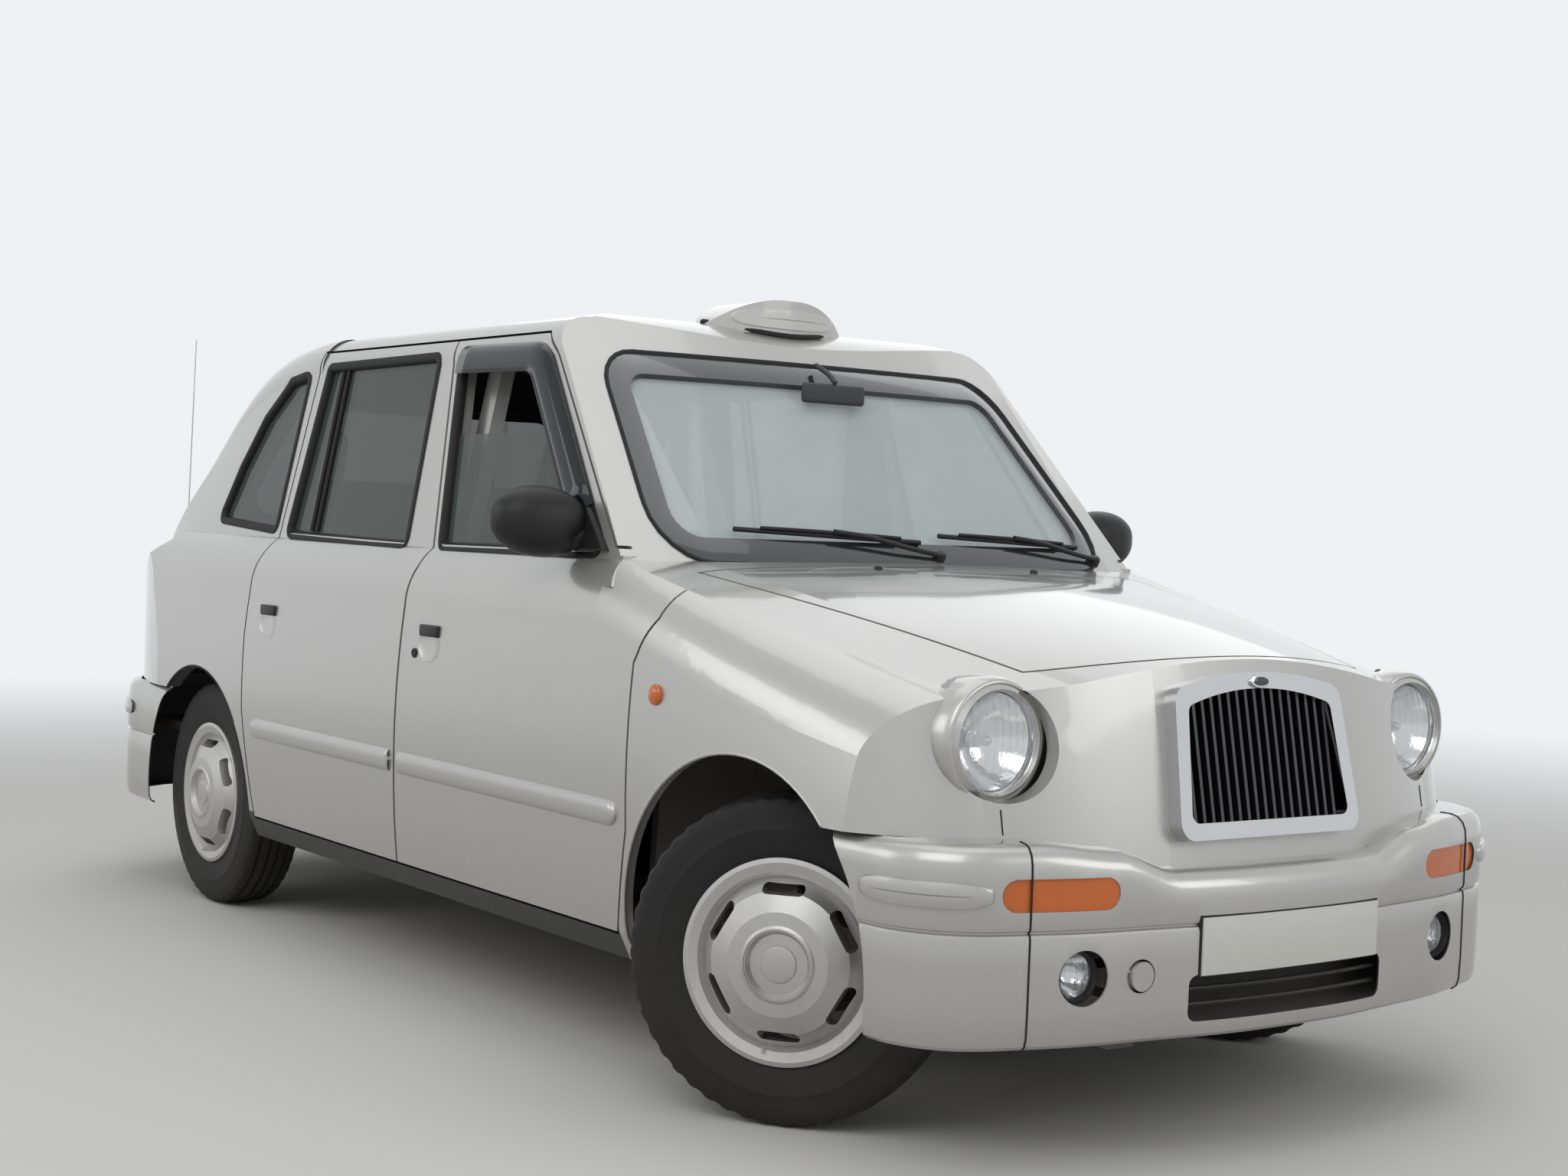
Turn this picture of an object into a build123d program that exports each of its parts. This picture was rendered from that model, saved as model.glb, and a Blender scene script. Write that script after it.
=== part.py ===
import math
import os
from build123d import *

os.makedirs("parts", exist_ok=True)

# Frame: +X forward, +Y to the car's left, +Z up, origin on the ground under the middle. Millimetres.

# Overall places along the car
LENGTH = 4575.0
NOSE_X = LENGTH / 2
TAIL_X = -LENGTH / 2
WHEELBASE = 2886.0
FRONT_OVERHANG = 780.0
FRONT_AXLE_X = NOSE_X - FRONT_OVERHANG
REAR_AXLE_X = FRONT_AXLE_X - WHEELBASE

# Wheels and steering
TYRE_R = 345.0
TYRE_W = 175.0
RIM_R = 203.0
FLANGE_R = 216.0
HALF_TRACK = 752.0
KINGPIN_Y = 646.0
STEER_REST = 36.0
STUB_R = 27.9
HUB_BORE_R = 28.0
KNUCKLE_R = 30.0
KNUCKLE_LOW = 232.0
KNUCKLE_HIGH = 452.0
ARM_GAP = 1.0

# Body side, half widths with their heights
SILL_Z = 262.0
SILL_Y = 836.0
DOOR_LOW_Z = 326.0
SIDE_LOW_Y = 868.0
SIDE_MID_Y = 892.0
SIDE_MID_Z = 780.0
SHOULDER_Y = 880.0
SHOULDER_Z = 1000.0
BELT_Y = 806.0
BELT_Z = 1150.0
RAIL_Y = 716.0
RAIL_Z = 1640.0
GUTTER_Y = 600.0
GUTTER_Z = 1748.0
ROOF_Z = 1826.0

# Shell and gaps
WALL = 45.0
SKIN = 26.0
GAP = 7.0
DOOR_GAP = 10.0
SHEAR = 0.17
GLASS = 8.0

# Door lines and hinges
DOOR_FRONT_X = 1140.0
DOOR_LOW_FRONT_X = 1085.0
DOOR_BULGE_X = 1192.0
B_LOW_X = -5.0
B_BELT_X = 32.0
B_TOP_X = -72.0
REAR_DOOR_X = -1010.0
REAR_DOOR_LOW_X = -950.0
REAR_DOOR_TOP_X = -905.0
DOOR_TOP_Z = 1702.0

# Wheel arches
FRONT_ARCH_X = FRONT_AXLE_X + 38.0
FRONT_ARCH_R = 425.0
REAR_ARCH_R = 395.0
ARCH_Z = TYRE_R

# Windscreen, bonnet and boot
SCREEN_LOW_X = 1040.0
SCREEN_LOW_Z = 1160.0
SCREEN_TOP_X = 553.0
SCREEN_TOP_Z = 1672.0
SCREEN_BOW = 60.0
NOSE_START_X = 960.0
DECK_Z = 1048.0
BONNET_REAR_X = 1078.0
BONNET_FRONT_X = 2086.0
BONNET_CORNER_X = 1985.0
BONNET_REAR_Y = 690.0
BONNET_FRONT_Y = 500.0
BONNET_EDGE_Z = 960.0
FRONT_LEAN = 0.2
BOOT_TOP_X = -1945.0
BOOT_Y = 560.0
BOOT_LOW_Z = 672.0

# Bumpers
BUMPER_LOW_Z = 264.0
BUMPER_MID_Z = 596.0
BUMPER_SIDE_Z = 656.0
BUMPER_WALL = 42.0

# Lamps
HEADLAMP_X = 2035.0
HEADLAMP_Y = 616.0
HEADLAMP_Z = 837.0
HEADLAMP_R = 98.0
FOG_Y = 531.0
FOG_Z = 401.0
FOG_R = 55.0
INDICATOR_Y = 580.0
INDICATOR_Z = 562.0
INDICATOR_W = 250.0
INDICATOR_H = 66.0

# Under the car and inside
FLOOR_Z = 352.0
FLOOR_T = 26.0
RAIL_OFFSET = 330.0
RAIL_W = 70.0
RAIL_H = 100.0
AXLE_TUBE_R = 42.0
ENGINE = (560.0, 520.0, 560.0)


def sheared(x, half_width):
    """Outline place on the sketch plane for a point that lies at this half width of the body."""
    return x - SHEAR * (SIDE_MID_Y - half_width)


# Outer form of the cabin, one section swept along it, seen from the front
def cabin_section(inset, low):
    with BuildSketch(Plane.YZ) as section:
        with BuildLine():
            for s in (1, -1):
                Line((0, low), (s * (SILL_Y - inset), low))
                Line((s * (SILL_Y - inset), low), (s * (SIDE_LOW_Y - inset), DOOR_LOW_Z))
                ThreePointArc(
                    (s * (SIDE_LOW_Y - inset), DOOR_LOW_Z),
                    (s * (SIDE_MID_Y - inset), SIDE_MID_Z),
                    (s * (SHOULDER_Y - inset), SHOULDER_Z),
                )
                ThreePointArc(
                    (s * (SHOULDER_Y - inset), SHOULDER_Z),
                    (s * (SHOULDER_Y - 22 - inset), SHOULDER_Z + 88),
                    (s * (BELT_Y - inset), BELT_Z),
                )
                Line((s * (BELT_Y - inset), BELT_Z), (s * (RAIL_Y - inset), RAIL_Z))
                ThreePointArc(
                    (s * (RAIL_Y - inset), RAIL_Z),
                    (s * (RAIL_Y - 28 - inset * 0.85), RAIL_Z + 72 - inset * 0.45),
                    (s * (GUTTER_Y - inset * 0.4), GUTTER_Z - inset),
                )
            ThreePointArc(
                (-(GUTTER_Y - inset * 0.4), GUTTER_Z - inset),
                (0, ROOF_Z - inset),
                (GUTTER_Y - inset * 0.4, GUTTER_Z - inset),
            )
        make_face()
    return section.sketch_local


# Rear end of the cabin: x, top z, gutter y z, rail y z, belt z
TAIL_SECTIONS = [
    (-900.0, ROOF_Z - 2, GUTTER_Y, GUTTER_Z, RAIL_Y, RAIL_Z, BELT_Z),
    (-990.0, ROOF_Z - 4, GUTTER_Y, GUTTER_Z - 3, RAIL_Y, RAIL_Z - 4, BELT_Z),
    (-1160.0, ROOF_Z - 14, 596.0, 1728.0, 715.0, 1612.0, BELT_Z),
    (-1400.0, ROOF_Z - 52, 574.0, 1674.0, 720.0, 1540.0, BELT_Z),
    (-1600.0, ROOF_Z - 146, 540.0, 1570.0, 734.0, 1412.0, 1140.0),
    (-1750.0, ROOF_Z - 316, 510.0, 1416.0, 756.0, 1290.0, 1116.0),
    (-1850.0, ROOF_Z - 490, 486.0, 1262.0, 778.0, 1180.0, 1080.0),
    (-1935.0, ROOF_Z - 760, 450.0, 1062.0, 792.0, 1052.0, 1030.0),
]


def upper_volume(inset):
    with BuildPart() as upper:
        with BuildSketch(Plane.YZ.offset(-900.0)):
            add(cabin_section(inset, SILL_Z))
        extrude(amount=2100.0)
        # The windscreen leans back and bows in plan
        run = (SCREEN_LOW_X - SCREEN_TOP_X) / (SCREEN_TOP_Z - SCREEN_LOW_Z)
        base = BELT_Z - 60
        front = SCREEN_LOW_X + run * (SCREEN_LOW_Z - base) - inset * 1.2
        with BuildSketch(Plane.XY.offset(base)):
            with BuildLine():
                ThreePointArc((front - SCREEN_BOW, -700), (front, 0), (front - SCREEN_BOW, 700))
                Line((front - SCREEN_BOW, 700), (front - SCREEN_BOW * 2.6, 1000))
                Line((front - SCREEN_BOW * 2.6, 1000), (-2600, 1000))
                Line((-2600, 1000), (-2600, -1000))
                Line((-2600, -1000), (front - SCREEN_BOW * 2.6, -1000))
                Line((front - SCREEN_BOW * 2.6, -1000), (front - SCREEN_BOW, -700))
            make_face()
        extrude(amount=1000.0, dir=(-run, 0, 1), mode=Mode.INTERSECT)
        # Side view of the roof, falling to the windscreen
        with BuildSketch(Plane.XZ.offset(-1200.0)):
            with BuildLine():
                Line((-1000, 900), (1300, 900))
                Line((1300, 900), (1300, 1300))
                Line((1300, 1300), (SCREEN_TOP_X + 40, SCREEN_TOP_Z - 34 - inset * 0.6))
                ThreePointArc(
                    (SCREEN_TOP_X + 40, SCREEN_TOP_Z - 34 - inset * 0.6),
                    (SCREEN_TOP_X - 44, SCREEN_TOP_Z + 44 - inset),
                    (SCREEN_TOP_X - 190, ROOF_Z - 58 - inset),
                )
                ThreePointArc(
                    (SCREEN_TOP_X - 190, ROOF_Z - 58 - inset),
                    (-230, ROOF_Z - 9 - inset),
                    (-900, ROOF_Z - 1 - inset),
                )
                Polyline((-900, ROOF_Z - 1 - inset), (-1000, ROOF_Z - 1 - inset), (-1000, 900))
            make_face()
        extrude(amount=2400.0, mode=Mode.INTERSECT)
    with BuildPart() as tail:
        for x, top, gy, gz, ry, rz, bz in TAIL_SECTIONS:
            with BuildSketch(Plane.YZ.offset(x if x == -900.0 else x + inset)):
                with BuildLine():
                    i = inset
                    w = BELT_Y - i
                    low = DECK_Z - 60
                    Line((-w, low), (w, low))
                    for s in (1, -1):
                        Line((s * w, low), (s * w, bz))
                        Line((s * w, bz), (s * (ry - i), rz - i * 0.1))
                        ThreePointArc(
                            (s * (ry - i), rz - i * 0.1),
                            (s * ((gy + ry) / 2 + 38 - i * 0.8), (gz + rz) / 2 + 0.16 * (gz - rz) - i * 0.6),
                            (s * (gy - i * 0.4), gz - i),
                        )
                    ThreePointArc((-(gy - i * 0.4), gz - i), (0, top - i), (gy - i * 0.4, gz - i))
                make_face()
        loft()
    with BuildPart() as whole:
        add(upper.part)
        add(tail.part)
    return whole.part


# Lower body of the cabin and the boot
def lower_volume(inset, low):
    with BuildPart() as lower:
        with BuildSketch(Plane.YZ.offset(TAIL_X)):
            add(cabin_section(inset, low))
        extrude(amount=NOSE_START_X - TAIL_X)
        # Side view of the belt, the deck and the tail
        with BuildSketch(Plane.XZ.offset(-1200.0)):
            with BuildLine():
                Polyline(
                    (1300, low),
                    (1300, BELT_Z + 10 - inset),
                    (-1690, BELT_Z + 4 - inset),
                    (-1950, DECK_Z - inset),
                    (-2130 + inset * 0.3, 985 - inset),
                )
                ThreePointArc(
                    (-2130 + inset * 0.3, 985 - inset),
                    (-2200 + inset * 0.7, 930 - inset * 0.7),
                    (-2226 + inset, 850 - inset * 0.3),
                )
                Polyline((-2226 + inset, 850 - inset * 0.3), (-2236 + inset, low), (1300, low))
            make_face()
        extrude(amount=2400.0, mode=Mode.INTERSECT)
        # Plan view of the tail with its round corners
        with BuildSketch(Plane.XY.offset(low - 10)):
            with BuildLine():
                Line((1400, -1000), (1400, 1000))
                for s in (1, -1):
                    Line((1400, s * 1000), (-1500, s * 1000))
                    Line((-1500, s * 1000), (-1500, s * (SIDE_MID_Y + 4 - inset)))
                    ThreePointArc(
                        (-1500, s * (SIDE_MID_Y + 4 - inset)),
                        (-1860 + inset * 0.2, s * (868 - inset)),
                        (-2100 + inset * 0.5, s * (790 - inset * 0.8)),
                    )
                    ThreePointArc(
                        (-2100 + inset * 0.5, s * (790 - inset * 0.8)),
                        (-2180 + inset * 0.8, s * (720 - inset * 0.6)),
                        (-2212 + inset, s * (610 - inset * 0.4)),
                    )
                ThreePointArc(
                    (-2212 + inset, 610 - inset * 0.4), (-2236 + inset, 0), (-2212 + inset, -(610 - inset * 0.4))
                )
            make_face()
        extrude(amount=1200.0, mode=Mode.INTERSECT)
    return lower.part


# Front end: x, middle z, bonnet edge y z, crown y z, shoulder y z, waist y z, side y z
FRONT_SECTIONS = [
    (NOSE_START_X, BELT_Z + 12, 640.0, BELT_Z + 8, BELT_Y, BELT_Z, SHOULDER_Y - 22, SHOULDER_Z + 88,
     SHOULDER_Y, SHOULDER_Z, SIDE_MID_Y, SIDE_MID_Z),
    (1560.0, 1112.0, 570.0, 1062.0, 752.0, 1018.0, 836.0, 958.0, 872.0, 866.0, 886.0, 690.0),
    (2240.0, 968.0, 420.0, 912.0, 610.0, 884.0, 748.0, 838.0, 812.0, 752.0, 852.0, 590.0),
]


def front_volume(inset, low):
    i = inset
    with BuildPart() as nose:
        for x, top, ey, ez, cy, cz, sy, sz, wy, wz, my, mz in FRONT_SECTIONS:
            with BuildSketch(Plane.YZ.offset(x)):
                with BuildLine():
                    Line((-(SILL_Y - i), low), (SILL_Y - i, low))
                    for s in (1, -1):
                        Line((s * (SILL_Y - i), low), (s * (SIDE_LOW_Y - i), DOOR_LOW_Z))
                        ThreePointArc(
                            (s * (SIDE_LOW_Y - i), DOOR_LOW_Z), (s * (my - i), mz), (s * (wy - i), wz)
                        )
                        ThreePointArc(
                            (s * (wy - i), wz), (s * (sy - i * 0.8), sz - i * 0.5), (s * cy, cz - i)
                        )
                        Line((s * cy, cz - i), (s * ey, ez - i))
                    ThreePointArc((-ey, ez - i), (0, top - i), (ey, ez - i))
                make_face()
        loft()
        # Plan view of the nose, leaning back with height
        with BuildSketch(Plane.XY.offset(low - 10)):
            with BuildLine():
                Line((900, -1100), (900, 1100))
                for s in (1, -1):
                    Line((900, s * 1100), (1700, s * 1100))
                    Line((1700, s * 1100), (1880 - i, s * (900 - i)))
                    ThreePointArc(
                        (1880 - i, s * (900 - i)), (2074 - i, s * (802 - i * 0.8)), (2158 - i, s * (660 - i * 0.6))
                    )
                    ThreePointArc(
                        (2158 - i, s * (660 - i * 0.6)), (2228 - i, s * 455), (2260 - i, s * 270)
                    )
                ThreePointArc((2260 - i, 270), (2267 - i, 0), (2260 - i, -270))
            make_face()
        extrude(amount=1300.0, dir=(-FRONT_LEAN, 0, 1), mode=Mode.INTERSECT)
    return nose.part


FLOOR_CUT = SILL_Z - 40
upper_outer = upper_volume(0.0)
with BuildPart() as shell:
    add(lower_volume(0.0, SILL_Z))
    add(upper_outer)
    add(front_volume(0.0, SILL_Z))
    add(lower_volume(WALL, FLOOR_CUT), mode=Mode.SUBTRACT)
    add(upper_volume(WALL), mode=Mode.SUBTRACT)
    add(front_volume(SKIN, FLOOR_CUT), mode=Mode.SUBTRACT)
    # Wheel arches
    for x, radius in ((FRONT_ARCH_X, FRONT_ARCH_R), (REAR_AXLE_X, REAR_ARCH_R)):
        with BuildSketch(Plane.XZ.offset(-1000.0)):
            with Locations((x, ARCH_Z)):
                Circle(radius)
        extrude(amount=2000.0, mode=Mode.SUBTRACT)


# Side outlines of doors and windows, drawn at the body's widest half width
def side_prism(points, grow, side, rounding):
    """Prism through one body side, leaning forward inboard so that an opening door clears its frame."""
    with BuildPart() as prism:
        with BuildSketch(Plane.XZ.offset(-side * SIDE_MID_Y)) as outline:
            with BuildLine():
                Polyline(*points, close=True)
            make_face()
            if rounding:
                fillet(outline.vertices(), rounding)
            if grow:
                offset(amount=grow, kind=Kind.INTERSECTION)
        extrude(amount=480.0, dir=(SHEAR, -side, 0))
        extrude(outline.sketch, amount=60.0, dir=(-SHEAR, side, 0))
    return prism.part


DOOR_TOP_HALF = 690.0
FRONT_DOOR = [
    (B_LOW_X, DOOR_LOW_Z),
    (DOOR_LOW_FRONT_X, DOOR_LOW_Z),
    (DOOR_FRONT_X, 560.0),
    (DOOR_FRONT_X, 930.0),
    (DOOR_BULGE_X, 1030.0),
    (sheared(DOOR_BULGE_X, 830.0), 1160.0),
    (sheared(920.0, 790.0), 1176.0),
    (sheared(478.0, DOOR_TOP_HALF), 1650.0),
    (sheared(400.0, DOOR_TOP_HALF), DOOR_TOP_Z),
    (sheared(B_TOP_X, DOOR_TOP_HALF), DOOR_TOP_Z),
    (sheared(B_BELT_X, 850.0), 1100.0),
]
REAR_DOOR = [
    (REAR_DOOR_LOW_X, DOOR_LOW_Z),
    (B_LOW_X - DOOR_GAP, DOOR_LOW_Z),
    (sheared(B_BELT_X, 850.0) - DOOR_GAP, 1100.0),
    (sheared(B_TOP_X, DOOR_TOP_HALF) - DOOR_GAP, DOOR_TOP_Z),
    (sheared(REAR_DOOR_TOP_X, DOOR_TOP_HALF), DOOR_TOP_Z),
    (sheared(REAR_DOOR_X + 30, 850.0), 1100.0),
    (REAR_DOOR_X, 860.0),
    (REAR_DOOR_X, 640.0),
]
FRONT_WINDOW = [
    (sheared(62.0, 806.0), 1160.0),
    (sheared(872.0, 790.0), 1166.0),
    (sheared(455.0, 716.0), 1612.0),
    (sheared(392.0, 712.0), 1654.0),
    (sheared(-30.0, 712.0), 1664.0),
]
REAR_WINDOW = [
    (sheared(-914.0, 806.0), 1166.0),
    (sheared(-140.0, 806.0), 1158.0),
    (sheared(-158.0, 712.0), 1662.0),
    (sheared(-850.0, 712.0), 1656.0),
]
QUARTER_WINDOW = [
    (sheared(-1455.0, 800.0), 1198.0),
    (sheared(-1010.0, 806.0), 1174.0),
    (sheared(-985.0, 720.0), 1640.0),
    (sheared(-1120.0, 720.0), 1622.0),
    (sheared(-1270.0, 730.0), 1510.0),
    (sheared(-1380.0, 760.0), 1360.0),
]
SIDE_ZONE_Y = 560.0
SAIL_Y = 770.0
WINDOW_ZONE_Y = 655.0

# Space that the doors may take: the sides, less the cowl's shoulder ahead of the pillar
with BuildPart() as side_zone:
    for s in (1, -1):
        with Locations((100, s * (SIDE_ZONE_Y + 200), 1000)):
            Box(2700, 400, 1700)
    with BuildSketch(Plane.XZ.offset(-SAIL_Y)):
        Polygon((900, 1000), (1500, 1000), (1500, 1300), (925, 1300), (905, 1180), align=None)
    extrude(amount=2 * SAIL_Y, mode=Mode.SUBTRACT)


def window_space(outline, side, rounding):
    with BuildPart() as space:
        add(side_prism(outline, 0.0, side, rounding))
        with Locations((0, side * 1000, 1400)):
            Box(4000, 2 * (1000 - WINDOW_ZONE_Y), 1400, mode=Mode.INTERSECT)
    return space.part


def door_space(outline, grow, side):
    with BuildPart() as space:
        add(side_prism(outline, grow, side, 0.0))
        add(side_zone.part, mode=Mode.INTERSECT)
    return space.part


STRIP_Z = 590.0
STRIP_H = 44.0
STRIP_RISE = 8.0
RIGHT_GLASS_TOP_Z = 1450.0
GLASS_INSET = 14.0

with BuildPart() as glass_shell:
    add(upper_volume(GLASS_INSET))
    add(upper_volume(GLASS_INSET + GLASS), mode=Mode.SUBTRACT)

DOORS = [
    # name, outline, window, side, strip rear end, strip front end, glass top
    ("front_left_door", FRONT_DOOR, FRONT_WINDOW, 1, 24.0, 1104.0, 1750.0),
    ("front_right_door", FRONT_DOOR, FRONT_WINDOW, -1, 24.0, 1104.0, RIGHT_GLASS_TOP_Z),
    ("rear_left_door", REAR_DOOR, REAR_WINDOW, 1, -930.0, -24.0, 1750.0),
    ("rear_right_door", REAR_DOOR, REAR_WINDOW, -1, -930.0, -24.0, 1750.0),
]
for name, outline, window, side, strip_rear, strip_front, glass_top in DOORS:
    with BuildPart() as door:
        add(shell.part)
        add(door_space(outline, 0.0, side), mode=Mode.INTERSECT)
        add(window_space(window, side, 16.0), mode=Mode.SUBTRACT)
        with BuildSketch(Plane.XZ.offset(-side * (SIDE_MID_Y - 20))):
            with Locations(((strip_rear + strip_front) / 2, STRIP_Z)):
                SlotOverall(strip_front - strip_rear, STRIP_H)
        extrude(amount=-side * (20 + STRIP_RISE - 4))
    door.part.label = name
    export_step(door.part, f"parts/{name}.step")
    with BuildPart() as pane:
        add(glass_shell.part)
        add(window_space(window, side, 16.0), mode=Mode.INTERSECT)
        with Locations((0, 0, glass_top + 500)):
            Box(4000, 2000, 1000, mode=Mode.SUBTRACT)
    pane.part.label = name.replace("door", "glass")
    export_step(pane.part, "parts/" + name.replace("door", "glass") + ".step")

# Openings in the fixed shell
SCREEN_EDGE = [(668.0, 1192.0), (590.0, 1618.0)]
with BuildPart() as screen_space:
    with BuildSketch(Plane.YZ.offset(200.0)) as screen_view:
        Polygon(*[(y, z) for y, z in SCREEN_EDGE], *[(-y, z) for y, z in reversed(SCREEN_EDGE)], align=None)
        fillet(screen_view.vertices(), 70.0)
    extrude(amount=1000.0)
BACKLIGHT_EDGE = [(560.0, 1210.0), (490.0, 1590.0)]
with BuildPart() as backlight_space:
    with BuildSketch(Plane.YZ.offset(-2100.0)) as backlight_view:
        Polygon(*[(y, z) for y, z in BACKLIGHT_EDGE], *[(-y, z) for y, z in reversed(BACKLIGHT_EDGE)], align=None)
        fillet(backlight_view.vertices(), 80.0)
    extrude(amount=900.0)


def bonnet_space(grow):
    with BuildPart() as space:
        with BuildSketch(Plane.XY.offset(BONNET_EDGE_Z)) as outline:
            with BuildLine():
                for s in (1, -1):
                    Line((BONNET_REAR_X, 0), (BONNET_REAR_X, s * BONNET_REAR_Y))
                    Line((BONNET_REAR_X, s * BONNET_REAR_Y), (BONNET_CORNER_X, s * BONNET_FRONT_Y))
                ThreePointArc(
                    (BONNET_CORNER_X, BONNET_FRONT_Y), (BONNET_FRONT_X, 0), (BONNET_CORNER_X, -BONNET_FRONT_Y)
                )
            make_face()
            if grow:
                offset(amount=grow, kind=Kind.INTERSECTION)
        # The edges lean forward so that the lid clears the cowl and the grille as it rises
        extrude(amount=260.0, dir=(FRONT_LEAN, 0, 1))
        extrude(outline.sketch, amount=160.0, dir=(-FRONT_LEAN, 0, -1))
    return space.part


def boot_space(grow):
    with BuildPart() as space:
        with BuildSketch(Plane.YZ.offset(-2400.0)) as boot_view:
            with Locations((0, (BOOT_LOW_Z - grow + 1300) / 2)):
                Rectangle(2 * (BOOT_Y + grow), 1300 - BOOT_LOW_Z + grow)
            fillet(boot_view.vertices().group_by(Axis.Y)[0], 60.0 + grow)
        extrude(amount=2400.0 + BOOT_TOP_X + grow)
    return space.part


with BuildPart() as fixed:
    add(shell.part)
    for name, outline, window, side, strip_rear, strip_front, glass_top in DOORS:
        add(door_space(outline, GAP, side), mode=Mode.SUBTRACT)
    for side in (1, -1):
        add(window_space(QUARTER_WINDOW, side, 20.0), mode=Mode.SUBTRACT)
    add(screen_space.part, mode=Mode.SUBTRACT)
    add(backlight_space.part, mode=Mode.SUBTRACT)
    add(bonnet_space(GAP), mode=Mode.SUBTRACT)
    add(boot_space(GAP), mode=Mode.SUBTRACT)
with BuildPart() as openings:
    add(screen_space.part)
    add(backlight_space.part)
    for side in (1, -1):
        add(window_space(QUARTER_WINDOW, side, 20.0))
with BuildPart() as fixed_glass:
    add(glass_shell.part)
    add(openings.part, mode=Mode.INTERSECT)
fixed_glass.part.label = "fixed_glass"
export_step(fixed_glass.part, "parts/fixed_glass.step")

for name, space in (("bonnet", bonnet_space(0.0)), ("boot_lid", boot_space(0.0))):
    with BuildPart() as lid:
        add(shell.part)
        add(space, mode=Mode.INTERSECT)
    lid.part.label = name
    export_step(lid.part, f"parts/{name}.step")

# The fixed shell is cut into the panels it is made of
ROOF_CUT_Z = DOOR_TOP_Z + GAP
QUARTER_CUT_X = REAR_DOOR_X - 46.0
WING_CUT_X = 1100.0
COWL_CUT_Z = 800.0
BIG = 3000.0


def box_between(low, high):
    with BuildPart() as block:
        with Locations(tuple((a + b) / 2 for a, b in zip(low, high))):
            Box(*[b - a for a, b in zip(low, high)])
    return block.part


# Outline of the grille, which its opening in the nose follows
GRILLE_LOW_Z = 634.0
GRILLE_TALL = 337.0
GRILLE_LOW_Y = 268.0
GRILLE_TOP_Y = 246.0
GRILLE_RIM = 34.0
GRILLE_DEPTH = 64.0
SLATS = 17
SLAT_W = 8.0
grille_plane = Plane(
    origin=(2267.0 - FRONT_LEAN * (GRILLE_LOW_Z - SILL_Z + 10) - 36, 0, GRILLE_LOW_Z),
    x_dir=(0, 1, 0), z_dir=(1, 0, FRONT_LEAN),
)


def grille_outline(inset):
    i = inset
    with BuildSketch() as outline:
        with BuildLine():
            for s in (1, -1):
                Line((0, i), (s * (GRILLE_LOW_Y - i), i))
                Line((s * (GRILLE_LOW_Y - i), i), (s * (GRILLE_TOP_Y - i), GRILLE_TALL - 34 - i))
            ThreePointArc(
                (-(GRILLE_TOP_Y - i), GRILLE_TALL - 34 - i), (0, GRILLE_TALL - i), (GRILLE_TOP_Y - i, GRILLE_TALL - 34 - i)
            )
        make_face()
        fillet(outline.vertices(), max(36.0 - i * 0.5, 8.0))
    return outline.sketch_local


BUMPER_TOP = [(0.0, BUMPER_MID_Z), (300.0, BUMPER_MID_Z), (450.0, 640.0), (620.0, BUMPER_SIDE_Z), (950.0, BUMPER_SIDE_Z)]
with BuildPart() as bumper_zone:
    with BuildSketch(Plane.YZ.offset(1700.0)):
        Polygon(*[(y, z) for y, z in BUMPER_TOP], (950, 0), (-950, 0), *[(-y, z) for y, z in reversed(BUMPER_TOP[1:])],
                align=None)
    extrude(amount=900.0)

PANELS = [
    # name, low corner, high corner of the space it takes
    ("roof_panel", (-1650.0, -BIG, ROOF_CUT_Z), (BIG, BIG, BIG)),
    ("rear_body", (-BIG, -BIG, 0.0), (QUARTER_CUT_X, BIG, ROOF_CUT_Z)),
    ("sills", (QUARTER_CUT_X, -BIG, 0.0), (WING_CUT_X, BIG, COWL_CUT_Z)),
    ("cowl_and_pillars", (QUARTER_CUT_X, -BIG, COWL_CUT_Z), (WING_CUT_X, BIG, ROOF_CUT_Z)),
    ("front_wings", (WING_CUT_X, -BIG, 0.0), (BIG, BIG, ROOF_CUT_Z)),
]
panel_parts = {}
for name, low, high in PANELS:
    with BuildPart() as panel:
        add(fixed.part)
        add(box_between(low, high), mode=Mode.INTERSECT)
        if name == "front_wings":
            add(bumper_zone.part, mode=Mode.SUBTRACT)
            with BuildSketch(grille_plane.offset(-200.0)):
                add(grille_outline(0.0))
            extrude(amount=400.0, mode=Mode.SUBTRACT)
            for s in (1, -1):
                with BuildSketch(Plane.YZ.offset(HEADLAMP_X - 120)):
                    with Locations((s * HEADLAMP_Y, HEADLAMP_Z)):
                        Circle(HEADLAMP_R + 18)
                extrude(amount=300, mode=Mode.SUBTRACT)
    panel_parts[name] = panel.part


# Bumpers: a wall that follows the plan view, dipped under the grille and cut by the arches
def nose_plan(inset, back):
    i = inset
    with BuildSketch() as plan:
        with BuildLine():
            ThreePointArc((2258 - i, -340 + i * 0.1), (NOSE_X - i, 0), (2258 - i, 340 - i * 0.1))
            for s in (1, -1):
                ThreePointArc(
                    (2258 - i, s * (340 - i * 0.1)), (2230 - i, s * (530 - i * 0.3)), (2184 - i, s * (692 - i * 0.5))
                )
                ThreePointArc(
                    (2184 - i, s * (692 - i * 0.5)), (2122 - i, s * (800 - i * 0.8)), (2010 - i, s * (858 - i))
                )
                Line((2010 - i, s * (858 - i)), (back, s * (882 - i)))
                Line((back, s * (882 - i)), (back, 0))
        make_face()
    return plan.sketch_local


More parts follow.
